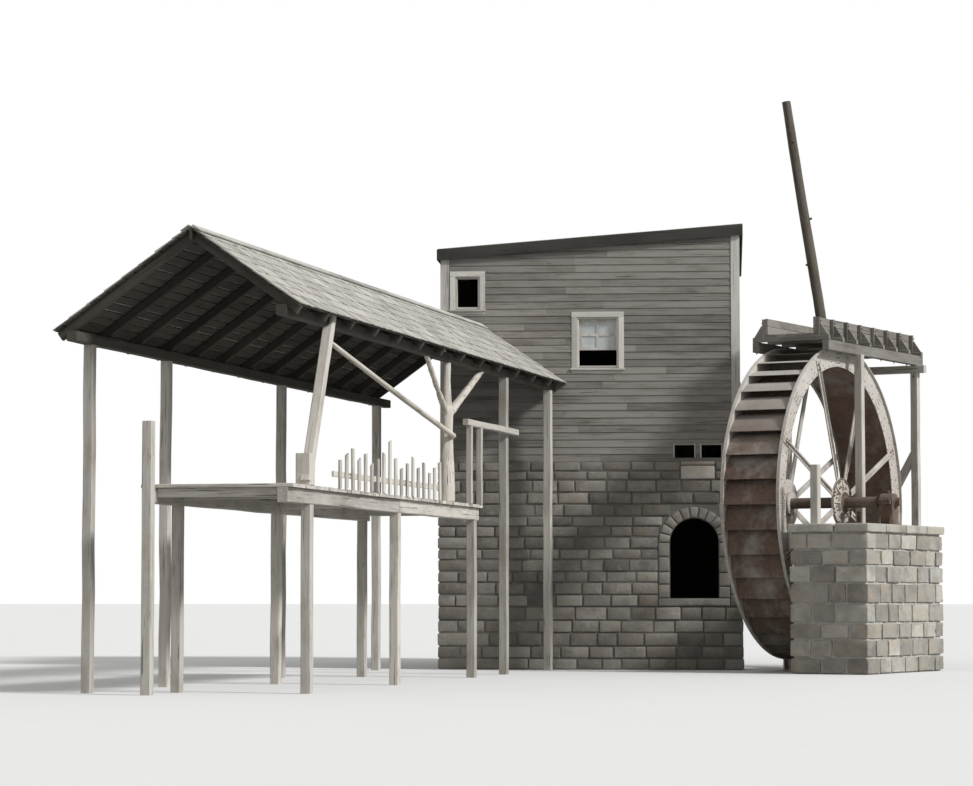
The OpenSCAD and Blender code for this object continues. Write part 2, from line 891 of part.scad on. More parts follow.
module forked_post() {
    top = plate_front_top - post_s - hair;
    x = plate_front_x;
    color("#5c554b") shed_place() {
        trunk();
        intersection() {
            union() {
                limb([x, -trunk_y, fork_z - 130], [x, -trunk_y + 40, top + 200],
                     trunk_dia * 0.66, trunk_dia * 0.42);
                limb([x, -trunk_y - 20, fork_z - 80], [x, -trunk_y - limb_near, top + 60],
                     trunk_dia * 0.4, trunk_dia * 0.28);
                limb([x, -trunk_y + 20, fork_z - 100], [x, -trunk_y + limb_far, top + 60],
                     trunk_dia * 0.58, trunk_dia * 0.36);
            }
            span([-shed_w, -shed_l, 0], [0, 0, top]);
        }
    }
}

rear_post_rows = [shed_l - 650, shed_l * 0.767, shed_l * 0.426, 1200];
module shed_rear_posts() {
    top = plate_rear_top - post_s;
    x = plate_rear_x - post_s / 2;
    color(timber) shed_place() for (y = rear_post_rows)
        span([x, -y - post_s / 2, 0], [x + post_s, -y + post_s / 2, top]);
}

// Wall plates and the ridge board
ridge_t = 36;
module shed_plates() {
    color(timber) cut_at_mill() shed_place() {
        for (p = [[plate_front_x, plate_front_top], [plate_rear_x, plate_rear_top]])
            span([p[0] - post_s / 2, -shed_l, p[1] - post_s], [p[0] + post_s / 2, mill_d / 2, p[1]]);
        span([ridge_x - ridge_t / 2, -shed_l, rafter_under(ridge_x)],
             [ridge_x + ridge_t / 2, mill_d / 2, shed_under(ridge_x + ridge_t / 2) - hair]);
    }
}

// Rafter between the ridge board and an eave, notched over its plate
tail = 40;
module rafter_profile(x0, x1, plate_x, plate_top) {
    difference() {
        polygon([[x0, shed_under(x0) - hair], [x1, shed_under(x1) - hair], [x1, rafter_under(x1)],
                 [x0, rafter_under(x0)]]);
        translate([plate_x - post_s / 2, plate_top - 3 * post_s]) square([post_s, 3 * post_s]);
        translate([plate_x - post_s / 2, plate_top - 3 * post_s]) square([post_s / 2, post_s]);
    }
}

module shed_rafters() {
    step = (shed_l - 1200) / (rafter_n - 1);
    color(timber) shed_place() for (i = [0 : rafter_n - 1])
        translate([0, -shed_l + 100 + rafter_t + i * step, 0]) rotate([90, 0, 0])
            linear_extrude(rafter_t) {
                rafter_profile(-tail, ridge_x + ridge_t / 2, plate_front_x, plate_front_top);
                rafter_profile(ridge_x - ridge_t / 2, -shed_w + tail, plate_rear_x, plate_rear_top);
            }
}

module shed_slope(x0, x1) {
    cut_at_mill() shed_place()
        along_y([[x0, shed_under(x0)], [x1, shed_under(x1)], [x1, shed_top(x1)], [x0, shed_top(x0)]],
                -shed_l, mill_d / 2);
}

module shed_roof_front() {
    color("#77736a") shed_slope(0, ridge_x + 0.001);
}

module shed_roof_rear() {
    color("#6d695f") shed_slope(ridge_x, -shed_w);
}

// Round pole between two points
module pole(a, b, d) {
    run = b - a;
    translate(a) rotate([0, acos(run[2] / norm(run)), atan2(run[1], run[0])])
        cylinder(d = d, h = norm(run));
}

// Pole laid as a rail from the leaning post down to the trunk, cut to fit both
pole_dia = 90;
pole_high_z = plate_front_top - post_s - 210;
pole_low_z = deck_z + fork_h * 0.7;
module rail_pole() {
    x = plate_front_x + post_s / 2;
    color("#57514a") shed_place() difference() {
        pole([x + 20, -lean_y - 30, pole_high_z], [x + 40, -trunk_y + 60, pole_low_z], pole_dia);
        leaning_post(hair);
        trunk(2 * hair);
    }
}

// Rail of the landing between the deck's end and the mill, on an upright and a post
module deck_end_rail() {
    x = deck_front_x - post_s / 2;
    w = landing_s;
    h = landing_z - w - 10;
    color(timber) shed_place() {
        span([x, -deck_far - landing_near, h], [x + w, -deck_far + landing_far, landing_z]);
        for (y = [deck_far + 2 * w, deck_far + landing_post])
            span([x, -y, deck_z], [x + w, -y + w, h]);
    }
}

foundation_front();
foundation_right();
foundation_left();
foundation_back();
wall_front();
wall_right();
wall_left();
wall_back();
main_floor();
roof();
fascia();
corner_boards();
window_frames();
window_sashes();
window_glass();
door_frame();
wheel_shaft();
near_spider();
far_spider();
near_shroud();
far_shroud();
sole_plate();
buckets();
outer_pier();
pier_cap();
stub_post();
outer_bearing();
inner_bearing();
flume_trough();
flume_stringers();
flume_posts();
flume_bent();
leaning_spar();
shed_underframe();
shed_deck();
shed_pickets();
shed_front_posts();
forked_post();
shed_rear_posts();
shed_plates();
shed_rafters();
shed_roof_front();
shed_roof_rear();
rail_pole();
deck_end_rail();
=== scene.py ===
"""Small overshot watermill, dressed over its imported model.

Stonework, boards, shakes, round timber and rusted steel are laid over the solids of the
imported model, in metres and in its frame: X right along the front wall, Y away from the
viewer, Z up, the origin at the foot of the front foundation wall.
"""

import math
import random

import bpy
from mathutils import Matrix, Vector, noise


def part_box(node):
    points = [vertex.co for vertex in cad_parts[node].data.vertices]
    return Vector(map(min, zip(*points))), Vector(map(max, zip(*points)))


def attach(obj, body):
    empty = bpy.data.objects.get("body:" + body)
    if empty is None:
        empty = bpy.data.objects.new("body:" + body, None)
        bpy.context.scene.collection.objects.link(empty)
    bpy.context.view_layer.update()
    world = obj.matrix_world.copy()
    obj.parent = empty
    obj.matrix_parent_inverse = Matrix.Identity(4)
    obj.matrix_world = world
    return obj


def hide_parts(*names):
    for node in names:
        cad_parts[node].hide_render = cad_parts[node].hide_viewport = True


bl_info = {
    "name": "Overshot watermill",
    "version": (1, 0, 0),
    "blender": (4, 5, 0),
    "location": "3D View > Sidebar > Watermill",
    "description": "Stonework, boards, shakes and rusted steel of a small watermill",
    "category": "Object",
}

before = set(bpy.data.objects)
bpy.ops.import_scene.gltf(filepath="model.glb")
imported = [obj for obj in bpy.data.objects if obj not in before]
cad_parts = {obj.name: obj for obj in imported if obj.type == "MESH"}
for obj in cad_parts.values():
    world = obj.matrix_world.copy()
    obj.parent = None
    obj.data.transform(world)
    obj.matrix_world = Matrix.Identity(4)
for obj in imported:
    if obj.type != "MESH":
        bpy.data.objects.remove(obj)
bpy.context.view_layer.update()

# Sizes taken over from the solids

AXLE = Vector((3.96, -0.20, 2.93))
WHEEL_TURN = Matrix.Rotation(math.radians(-25), 4, "Z")
WHEEL_FRAME = Matrix.Translation((AXLE.x, AXLE.y, 0)) @ WHEEL_TURN
AXLE_FRAME = Matrix.Translation(AXLE) @ WHEEL_TURN @ Matrix.Rotation(math.pi / 2, 4, "Y")
SHED_SKEW = math.radians(10)
SHED_FRAME = Matrix.Translation((-0.42, -0.20, 0)) @ Matrix.Rotation(-SHED_SKEW, 4, "Z")

WHEEL_R = 2.745
SOLE_R = 2.445
HALF_B = 0.5
BUCKETS = 40
ARMS = 8
# Height where the painted highlight on the top of the wheel starts, and how far up it fades in.
TOP_HIGHLIGHT_FOOT = 3.7
TOP_HIGHLIGHT_FADE = 1.4
PIER = (0.70, 2.09, -2.67, 0.75)
PIER_TOP = 2.5
CAP_T = 0.15

HALF_W = 2.64
HOUSE_FRONT = -0.16
HOUSE_BACK = 6.76
FOUND_H = 3.68
ROOF_HIGH = 7.87
ROOF_FALL = 0.4
ROOF_REACH = 2.68
ROOF_UNDER = 0.151
BOARD_REACH = ROOF_REACH + 0.045

EAVE_Z = 5.1
RISE = math.tan(math.radians(35))
SLOPE = math.atan(RISE)
RIDGE_X = -1.5
RIDGE_Z = EAVE_Z - RIDGE_X * RISE
SHED_COVER = 0.06
RAFTER = 0.15
SHED_L = 15.25
SHED_W = 3.4
POST = 0.14
PLATE_FRONT_X = -0.25
PLATE_REAR_X = -3.15
DECK_Z = 2.75
DECK_FRONT_X = -0.11
DECK_REAR_X = -2.07
DECK_NEAR = 15.15
DECK_FAR = 5.4


def shed_top(x):
    """Height of the shed roof's upper face."""
    return EAVE_Z - x * RISE if x > RIDGE_X else RIDGE_Z + (x - RIDGE_X) * RISE


def rafter_under(x):
    """Height of the rafters' lower face."""
    return shed_top(x) - (SHED_COVER + RAFTER)


def mill_limit(x):
    """Where the shed meets the mill's front wall, along the shed."""
    return (0.015 + math.sin(SHED_SKEW) * x) / math.cos(SHED_SKEW)


def roof_top(x):
    """Height of the mill roof's upper face."""
    return ROOF_HIGH - ROOF_FALL * (ROOF_REACH - x) / (2 * ROOF_REACH)


PLATE_FRONT_TOP = rafter_under(PLATE_FRONT_X)
PLATE_REAR_TOP = rafter_under(PLATE_REAR_X)


# Settings a user would change


def colour_setting(name, description, default):
    return bpy.props.FloatVectorProperty(
        name=name, description=description, subtype="COLOR", size=3, min=0, max=1, default=default)


def length_setting(name, description, low, high, default):
    return bpy.props.FloatProperty(
        name=name, description=description, unit="LENGTH", min=low, max=high, default=default)


def plain_setting(name, description, low, high, default):
    return bpy.props.FloatProperty(name=name, description=description, min=low, max=high, default=default)


class MillFinishes(bpy.types.PropertyGroup):
    """Colours of the mill's stone, wood and steel"""

    siding: colour_setting("Siding", "Weathered clapboards of the house", (0.235, 0.222, 0.200))
    trim: colour_setting("Trim", "Corner boards, casings and sashes", (0.55, 0.53, 0.485))
    timber: colour_setting("Timber", "Posts and beams", (0.54, 0.51, 0.455))
    # Painted shade: a near-black copy of the timber colour, laid on the rafters, plates and laths for the deep shade
    # under the shed roof.
    painted_shade_timber: colour_setting(
        "Dark timber", "Rafters, plates and laths under the shed roof", (0.072, 0.065, 0.055))
    plank: colour_setting("Planks", "Deck and pickets", (0.54, 0.51, 0.455))
    flume_wood: colour_setting("Flume wood", "Damp planks and beams of the flume", (0.24, 0.225, 0.20))
    peeled: colour_setting("Peeled trunk", "Forked trunk and rail pole, bare of bark", (0.60, 0.56, 0.49))
    shake: colour_setting("Shakes", "Split shakes of the shed roof", (0.44, 0.425, 0.385))
    bark: colour_setting("Bark", "Leaning spar with remains of bark", (0.115, 0.098, 0.08))
    block: colour_setting("Pier blocks", "Split blocks of the wheel pier", (0.40, 0.385, 0.345))
    rubble: colour_setting("Rubble", "Stones of the house foundation", (0.25, 0.24, 0.215))
    rust: colour_setting("Rust", "Rusted sole, buckets and castings of the wheel", (0.235, 0.168, 0.128))
    rim: colour_setting("Wheel rims", "Shrouds and spokes of the wheel, pale with lime", (0.54, 0.515, 0.47))
    pier_mortar: colour_setting("Pier mortar", "Pale joints of the wheel pier", (0.58, 0.565, 0.52))


class MillLaying(bpy.types.PropertyGroup):
    """Sizes of boards, shakes and stones"""

    clapboard: length_setting("Clapboard exposure", "Height of a clapboard that shows", 0.08, 0.25, 0.13)
    shake: length_setting("Shake exposure", "Length of a shake that shows", 0.2, 0.6, 0.30)
    plank: length_setting("Deck plank", "Width of a deck plank", 0.12, 0.35, 0.20)
    joint: length_setting("Mortar joint", "Width of the joints between stones", 0.004, 0.04, 0.016)
    stone: length_setting("Rubble length", "Middle length of a foundation stone", 0.25, 0.9, 0.46)
    seed: bpy.props.IntProperty(name="Seed", description="Start of all the random draws", min=0, default=7)


class MillStudio(bpy.types.PropertyGroup):
    """Camera and light of the view"""

    zoom: plain_setting("Zoom", "Enlargement over the photograph", 1, 4, 2.85)
    sun: plain_setting("Lamp strength", "Strength of the soft lamp from the right", 0, 6, 2.8)
    sky: plain_setting("Sky strength", "Even light from all sides", 0, 1, 0.48)


# Shader maths


class Wire:
    """A socket of a finish. Python's operators on it add Math nodes."""

    def __init__(self, finish, socket):
        self.finish = finish
        self.socket = socket

    def math(self, operation, first, second, clamp=False):
        settings = {"operation": operation, "use_clamp": clamp}
        return self.finish.node("ShaderNodeMath", settings, {0: first, 1: second})[0]

    def __add__(self, other):
        return self.math("ADD", self, other)

    def __sub__(self, other):
        return self.math("SUBTRACT", self, other)

    def __rsub__(self, other):
        return self.math("SUBTRACT", other, self)

    def __mul__(self, other):
        return self.math("MULTIPLY", self, other)

    def __truediv__(self, other):
        return self.math("DIVIDE", self, other)

    def largest(self, other):
        return self.math("MAXIMUM", self, other)

    def clamped(self):
        return self.math("ADD", self, 0.0, clamp=True)

    __radd__ = __add__
    __rmul__ = __mul__


class Finish:
    """Node tree of a material or of the world."""

    def __init__(self, owner):
        owner.use_nodes = True
        self.tree = owner.node_tree
        self.tree.nodes.clear()

    def node(self, kind, settings=None, values=None):
        """Adds a node: its settings come first, then the values or links of its sockets."""
        made = self.tree.nodes.new(kind)
        for name, value in (settings or {}).items():
            if name == "stops":
                while len(made.color_ramp.elements) < len(value):
                    made.color_ramp.elements.new(0.5)
                for stop, (at, level) in zip(made.color_ramp.elements, value):
                    stop.position = at
                    stop.color = (level, level, level, 1)
            else:
                setattr(made, name, value)
        for name, value in (values or {}).items():
            socket = made.inputs[name]
            if isinstance(value, Wire):
                self.tree.links.new(value.socket, socket)
            elif socket.type == "RGBA" and len(value) == 3:
                socket.default_value = (*value, 1)
            else:
                socket.default_value = value
        return [Wire(self, socket) for socket in made.outputs]

    def ramp(self, value, *stops):
        """Grey ramp through (place, level) stops, level beyond them."""
        return self.node("ShaderNodeValToRGB", {"stops": stops}, {0: value})[0]

    def step(self, value, low, high, top=1.0):
        """Ramp from 0 at low to top at high."""
        return self.ramp(value, (low, 0.0), (high, top))

    def noise(self, where, scale, detail=4.0, rough=0.55, distortion=0.0):
        values = {"Vector": where, "Scale": scale, "Detail": detail, "Roughness": rough,
                  "Distortion": distortion}
        return self.node("ShaderNodeTexNoise", {}, values)[0]

    def cells(self, where, scale):
        return self.node("ShaderNodeTexVoronoi", {}, {"Vector": where, "Scale": scale})[0]

    def stretch(self, where, scale):
        """Scales coordinates axis by axis."""
        return self.node("ShaderNodeVectorMath", {"operation": "MULTIPLY"}, {0: where, 1: scale})[0]

    def streaks(self, where, along, across, *more, scale=1.0):
        """Noise drawn out along the grain."""
        return self.noise(self.stretch(where, (along, across, across)), scale, *more)

    def shift(self, where, by):
        return self.node("ShaderNodeVectorMath", {"operation": "ADD"}, {0: where, 1: by})[0]

    def mix(self, factor, first, second):
        """Mixes two colours."""
        return self.node("ShaderNodeMix", {"data_type": "RGBA"}, {0: factor, 6: first, 7: second})[2]

    def layers(self, base, *coats):
        """Lays (factor, colour) coats over a colour in turn."""
        for factor, colour in coats:
            base = self.mix(factor, base, colour)
        return base

    def named(self, name):
        """Colour, vector and value of a point attribute."""
        return self.node("ShaderNodeAttribute", {"attribute_name": name})

    def place(self):
        """Object coordinates, in metres."""
        return self.node("ShaderNodeTexCoord")[3]

    def seen(self):
        """1 for rays from the camera and for mirrored and transmitted ones, else 0."""
        rays = self.node("ShaderNodeLightPath")
        return rays[0].largest(rays[3]).largest(rays[6])

    def surface(self, colour, roughness, specular, height=None, depth=0.0, **more):
        """Principled surface, with a bump of the given depth where there is a height."""
        values = {"Base Color": colour, "Roughness": roughness, "Specular IOR Level": specular, **more}
        if height:
            bump = {"Height": height, "Distance": depth, "Strength": 1.0}
            values["Normal"] = self.node("ShaderNodeBump", {}, bump)[0]
        shader = self.node("ShaderNodeBsdfPrincipled", {}, values)[0]
        self.node("ShaderNodeOutputMaterial", {}, {"Surface": shader})


def tint(colour, factor, hue=(1, 1, 1)):
    """Colour times a factor, with its channels weighed by hue."""
    return tuple(min(1.0, c * share * factor) for c, share in zip(colour, hue))


FINISHES = {}


def finish(name):
    """Finish by its name, made at its first use."""
    if name not in FINISHES:
        FINISHES[name] = bpy.data.materials.new(name)
        RECIPES[name](Finish(FINISHES[name]), bpy.context.scene.mill_finishes)
    return FINISHES[name]


def wood(f, colour, along=None, cracks=1.0, moss=0.0, wear=0.35, depth=0.004):
    """Weathered wood: fibres, drying cracks, knots and stains along the grain.

    along is None where the piece carries grain coordinates, and else the axis of its grain, X or Z.
    """
    where = f.place() if along else f.named("grain")[1]
    if along == "Z":
        where = f.node("ShaderNodeMapping", {}, {"Vector": where, "Rotation": (0, math.pi / 2, 0)})[0]
    tone = f.streaks(where, 0.4, 7.0, 1.0) if along else f.named("tone")[2]
    fibre = f.streaks(where, 2.2, 95.0, 6.0, 0.65, 0.25)
    bands = f.streaks(where, 0.7, 17.0, 5.0, 0.6, 0.9)
    stain = f.streaks(where, 0.9, 2.2, 5.0, 0.62, scale=1.4)
    crack = f.step(f.streaks(where, 1.1, 46.0, 3.0, 0.5, 0.5), 0.33, 0.37)
    knots = f.ramp(f.cells(f.stretch(where, (1.0, 4.2, 4.2)), 1.35), (0, 0), (0.045, 0.25), (0.075, 1))
    light = (tone * 0.50 + bands * 0.62 + fibre * 0.44 - 0.26).clamped()
    base = f.layers(
        f.mix(light, tint(colour, 0.42), tint(colour, 1.5)),
        (f.step(stain, 0.45, 0.75, wear), tint(colour, 1.35, (1.02, 1.04, 1.12))),
        (f.ramp(stain, (0, 0.75), (0.30, 0.55), (0.47, 0)), tint(colour, 0.5, (1, 0.92, 0.82))),
        ((1 - crack) * (0.75 * cracks), tint(colour, 0.22)),
        ((1 - knots) * 0.7, tint(colour, 0.34)))
    if moss:
        patch = f.step(f.noise(where, 1.7, 6.0, 0.7), 0.55, 0.7)
        base = f.mix(patch * moss, base, (0.115, 0.125, 0.075))
    height = fibre * 0.35 + bands * 0.3 + crack * (0.5 * cracks) + knots * 0.15
    f.surface(base, 0.97 - 0.16 * fibre, 0.25, height, depth)


def stone(f, colour, lichen):
    """Split stone: mottling, veins, pits and lichen, each stone a little different."""
    where, tone = f.named("grain")[1], f.named("tone")[2]
    mottle = f.noise(where, 5.5, 7.0, 0.68)
    fine = f.noise(where, 42.0, 6.0, 0.7)
    veins = f.noise(f.stretch(where, (1.0, 1.0, 1.7)), 2.1, 8.0, 0.72, 0.4)
    pits = f.ramp(f.cells(f.shift(where, (3.1, 1.7, 0.4)), 26.0), (0, 0), (0.16, 0.55), (0.3, 1))
    light = (tone * 0.7 + mottle * 0.42 + fine * 0.12 - 0.1).clamped()
    spots = f.step(f.noise(f.shift(where, (7.0, 2.0, 5.0)), 6.5, 8.0, 0.78), 0.57, 0.64)
    soot = f.ramp(f.noise(f.shift(where, (1.0, 9.0, 3.0)), 1.6, 5.0, 0.6), (0, 0.8), (0.36, 0.5), (0.5, 0))
    base = f.layers(
        f.mix(light, tint(colour, 0.48), tint(colour, 1.5)),
        (f.ramp(veins, (0.46, 0), (0.62, 0.5), (1, 0.7)), tint(colour, 1.0, (1.12, 0.96, 0.78))),
        (spots * lichen, (0.45, 0.459, 0.396)),
        (soot, tint(colour, 0.42)),
        ((1 - pits) * 0.4, tint(colour, 0.3)))
    height = mottle * 0.75 + fine * 0.3 + pits * 0.25 + veins * 0.35
    f.surface(base, 0.96 - 0.1 * mottle, 0.3, height, 0.022)


def mortar(f, colour):
    """Lime mortar, sanded and stained."""
    where = f.place()
    sand = f.noise(where, 120.0, 4.0, 0.7)
    lumps = f.noise(where, 14.0, 6.0, 0.6)
    stain = f.noise(where, 1.3, 5.0, 0.6)
    base = f.mix((lumps * 0.6 + sand * 0.5).clamped(), tint(colour, 0.55), tint(colour, 1.3))
    base = f.mix(f.ramp(stain, (0, 0.8), (0.4, 0.4), (0.6, 0)), base, tint(colour, 0.5))
    f.surface(base, 0.95, 0.2, lumps + sand * 0.4, 0.01)


def rusted(f, colour, bare=0.25, steel=(0.30, 0.29, 0.28), streak=0.6, lime=(0.44, 0.42, 0.385), top_highlight=0.0):
    """Rusted steel: scale, orange patches, pits and rubbed places.

    The last argument gives how much paler the upper part is painted, above the axle as the wheel stands at rest: a
    painted highlight for the light that falls on the top of the wheel, laid in the lime colour.
    """
    where = f.place()
    cloud = f.noise(where, 2.3, 7.0, 0.68)
    scale = f.noise(where, 17.0, 7.0, 0.72)
    grit = f.noise(where, 130.0, 4.0, 0.7)
    pits = f.ramp(f.cells(where, 55.0), (0, 0), (0.22, 0.7), (0.4, 1))
    lime_and_top_highlight = f.step(f.noise(f.shift(where, (4.0, 1.0, 8.0)), 1.5, 6.0, 0.66), 0.47, 0.66) * streak
    # Painted highlight: above the axle the lime colour is laid on more with height, for the light that falls on the
    # top of the wheel.
    if top_highlight:
        height = f.node("ShaderNodeSeparateXYZ", {}, {0: where})[2]
        lime_and_top_highlight = lime_and_top_highlight.largest(((height - TOP_HIGHLIGHT_FOOT) / TOP_HIGHLIGHT_FADE).clamped() * (0.45 + 0.9 * cloud).clamped() * top_highlight)
    rubbed = f.step(f.noise(f.shift(where, (2.0, 6.0, 1.0)), 5.0, 6.0, 0.75), 0.56, 0.66) * bare
    base = f.layers(
        f.mix((cloud * 0.9 + scale * 0.5 - 0.2).clamped(), tint(colour, 0.34), tint(colour, 1.0, (1.35, 1.30, 1.30))),
        (f.step(scale, 0.52, 0.68) * 0.5, tint(colour, 1.0, (1.6, 1.3, 1))),
        # Lime streaks, together with the painted highlight on the top of the wheel.
        (lime_and_top_highlight, lime),
        (rubbed, steel),
        ((1 - pits) * 0.5, tint(colour, 0.25)))
    f.surface(base, 0.9 - rubbed * 0.5 + grit * 0.08, 0.35, scale * 0.5 + grit * 0.25 + pits * 0.5, 0.0035,
              Metallic=rubbed * 0.9)


def glass(f, colour):
    """Old window glass, dusty and a little uneven."""
    where = f.place()
    dust = f.noise(where, 7.0, 6.0, 0.7)
    ripple = f.noise(f.stretch(where, (1.0, 1.0, 0.35)), 5.5, 2.0)
    base = f.mix(dust, tint(colour, 0.72), colour)
    f.surface(base, 0.08 + 0.3 * dust, 0.7, ripple, 0.004, Alpha=0.62 + 0.3 * dust)


def paved(f):
    """Pale stage floor, darker in the light that it throws back."""
    pale = f.mix(f.noise(f.place(), 0.8, 4.0), (0.80, 0.80, 0.79), (0.83, 0.83, 0.82))
    f.surface(f.mix(f.seen(), (0.36, 0.36, 0.355), pale), 0.95, 0.1)


RECIPES = {
    "siding": lambda f, c: wood(f, c.siding, cracks=0.8, wear=0.5),
    "trim": lambda f, c: wood(f, c.trim, cracks=0.6, wear=0.3),
    "sash_wood": lambda f, c: wood(f, tint(c.trim, 0.95), along="Z", cracks=0.3, depth=0.002),
    "corner_wood": lambda f, c: wood(f, c.trim, along="Z", cracks=0.8),
    "inner_boards": lambda f, c: wood(f, tint(c.timber, 0.33), along="Z"),
    # The roof's core and fascia, and its boards, get darkened timber colours: partly weathered wood, partly painted
    # shade for the shadow under the eave.
    "roof_core": lambda f, c: wood(f, tint(c.timber, 0.10), along="X", cracks=0.6),
    "roof_boards": lambda f, c: wood(f, tint(c.timber, 0.33), moss=0.4),
    "timber": lambda f, c: wood(f, c.timber),
    # Near-black timber that paints the shade under the shed roof.
    "painted_shade_timber": lambda f, c: wood(f, c.painted_shade_timber, cracks=0.8),
    "peeled": lambda f, c: wood(f, c.peeled, cracks=1.2, wear=0.4, depth=0.008),
    "plank": lambda f, c: wood(f, c.plank, wear=0.5),
    "flume_wood": lambda f, c: wood(f, c.flume_wood, wear=0.4, moss=0.2),
    "shake": lambda f, c: wood(f, c.shake, moss=0.25, wear=0.5),
    "bark": lambda f, c: wood(f, c.bark, cracks=1.3, wear=0.5, depth=0.012, moss=0.25),
    "block": lambda f, c: stone(f, c.block, 0.35),
    "rubble": lambda f, c: stone(f, c.rubble, 0.4),
    "rubble_core": lambda f, c: mortar(f, tint(c.rubble, 0.75)),
    "pier_core": lambda f, c: mortar(f, c.pier_mortar),
    "plate_steel": lambda f, c: rusted(f, c.rust),
    # The rims and buckets carry the painted highlight on the upper part of the wheel.
    "rim_steel": lambda f, c: rusted(
        f, c.rim, bare=0.2, steel=(0.46, 0.45, 0.43), streak=0.85, lime=(0.62, 0.60, 0.55), top_highlight=0.7),
    "bucket_steel": lambda f, c: rusted(
        f, tint(c.rust, 0.7), bare=0.1, streak=0.5, lime=(0.50, 0.48, 0.44), top_highlight=0.95),
    "cast_iron": lambda f, c: rusted(f, tint(c.rust, 0.62), streak=0.25),
    "fastener": lambda f, c: rusted(f, tint(c.rust, 0.8), bare=0.4, streak=0.1),
    "pane": lambda f, c: glass(f, (0.66, 0.70, 0.70)),
    "stage_floor": lambda f, c: paved(f),
}


# Mesh building

JOINERY = {"edge": 0.003, "wave": 0.001}
PLANED = {"edge": 0.005, "wave": 0.002}
BEAM = {"edge": 0.009, "wave": 0.004}
ROUGH_POST = {"edge": 0.011, "wave": 0.006}


def carry(mesh, tones, grains):
    """Stores a tone and grain coordinates at every point of a mesh."""
    mesh.attributes.new("tone", "FLOAT", "POINT").data.foreach_set("value", tones)
    mesh.attributes.new("grain", "FLOAT_VECTOR", "POINT").data.foreach_set("vector", [c for g in grains for c in g])


def settle(name, mesh, look, body="root", replaces=None):
    """Puts a finished mesh into the scene as a piece of the mill."""
    mesh.materials.append(finish(look))
    thing = bpy.data.objects.new(name, mesh)
    bpy.context.scene.collection.objects.link(thing)
    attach(thing, body)
    if replaces:
        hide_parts(replaces)


def coat(look, *nodes):
    """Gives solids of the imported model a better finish."""
    for node in nodes:
        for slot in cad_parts[node].material_slots:
            slot.material = finish(look)


class Shape:
    """Points and faces of one piece, with a tone and grain coordinates at every point."""

    def __init__(self, place=None):
        self.place = place or Matrix()
        self.points = []
        self.faces = []
        self.tones = []
        self.grains = []

    def add(self, points, faces, tone=0.5, grain=None, shift=(0, 0, 0)):
        """Adds points in the shape's frame, and faces that number them from 0."""
        start = len(self.points)
        shift = Vector(shift)
        self.points += [self.place @ Vector(p) for p in points]
        self.faces += [tuple(start + i for i in face) for face in faces]
        self.tones += [tone] * len(points)
        self.grains += [Vector(g) + shift for g in (grain or points)]

    def piece(self, name, look, slot, body="root", smooth=None, replaces=None):
        """Makes the object, gives it its finish and puts it on its body."""
        mesh = bpy.data.meshes.new(name)
        mesh.from_pydata(self.points, [], self.faces)
        carry(mesh, self.tones, self.grains)
        if smooth:
            mesh.polygons.foreach_set("use_smooth", [True] * len(mesh.polygons))
            mesh.set_sharp_from_angle(angle=math.radians(smooth))
        settle(name, mesh, look, body, replaces)


def drawn(rng, *limits):
    """A vector of draws between 0 and each limit."""
    return Vector([rng.uniform(0, limit) for limit in limits])


def square_to(along, hint):
    """Two directions square to a run, the first one as near to the hint as it can be."""
    out = (hint - along * hint.dot(along)).normalized()
    return out, along.cross(out)


def loft(shape, rings, tone=0.5, grains=None, shift=(0, 0, 0)):
    """Skin over rings of equal length, closed round and capped at both ends."""
    n, last = len(rings[0]), len(rings) - 1
    faces = []
    for start in range(0, last * n, n):
        for i in range(n):
            j = (i + 1) % n
            faces.append((start + i, start + j, start + n + j, start + n + i))
    faces += [tuple(reversed(range(n))), tuple(range(last * n, (last + 1) * n))]
    shape.add([p for ring in rings for p in ring], faces, tone,
              [g for ring in grains for g in ring] if grains else None, shift)


def bar(shape, rng, a, b, width, thick, up=(0, 0, 1), edge=0.007, wave=0.003, tone=None, skew=0.0):
    """Sawn or hewn bar from a to b, with worn arrises, slightly out of true."""
    a, b = Vector(a), Vector(b)
    length, along = (b - a).length, (b - a).normalized()
    out, side = square_to(along, Vector(up))
    steps = max(1, min(14, round(length / 0.7)))
    edge = min(edge, width * 0.3, thick * 0.3)
    w, t = width / 2, thick / 2
    section = [(t, -w + edge), (t, w - edge), (t - edge, w), (-t + edge, w),
               (-t, w - edge), (-t, -w + edge), (-t + edge, -w), (t - edge, -w)]
    shift = drawn(rng, 60, 9, 9)
    rings, grains = [], []
    for k in range(steps + 1):
        at = k / steps * length
        inner = 0 < k < steps
        dx, dy = (rng.uniform(-wave, wave), rng.uniform(-wave, wave)) if inner else (0, 0)
        size = 1 - rng.uniform(0, wave * 3)
        rings.append([a + along * (at + (0 if inner else skew * s)) + out * (o * size + dx) + side * (s * size + dy)
                      for o, s in section])
        grains.append([(at, o, s) for o, s in section])
    loft(shape, rings, rng.random() if tone is None else tone, grains, shift)


def upright(shape, rng, x, y, z0, z1, size, **more):
    """Square post with its middle at x and y."""
    bar(shape, rng, (x, y, z0), (x, y, z1), size, size, up=(1, 0, 0), **more)


def corners(a, b):
    """Lowest and highest corner of the box between two opposite corners."""
    return [Vector([pick(pair) for pair in zip(a, b)]) for pick in (min, max)]


def box_bar(shape, rng, a, b, **more):
    """Bar that fills the box between a and b, with its grain along the longest side."""
    lo, hi = corners(a, b)
    size, mid = hi - lo, (lo + hi) / 2
    axis = max(range(3), key=lambda i: size[i])
    a, b = mid.copy(), mid.copy()
    a[axis], b[axis] = lo[axis], hi[axis]
    thick = 2 if axis != 2 else 0
    up = [0, 0, 0]
    up[thick] = 1
    bar(shape, rng, a, b, size[3 - axis - thick], size[thick], up=up, **more)


def joinery(shape, rng, pairs):
    """Joiner's pieces in the boxes between pairs of corners."""
    for a, b in pairs:
        box_bar(shape, rng, a, b, **JOINERY)


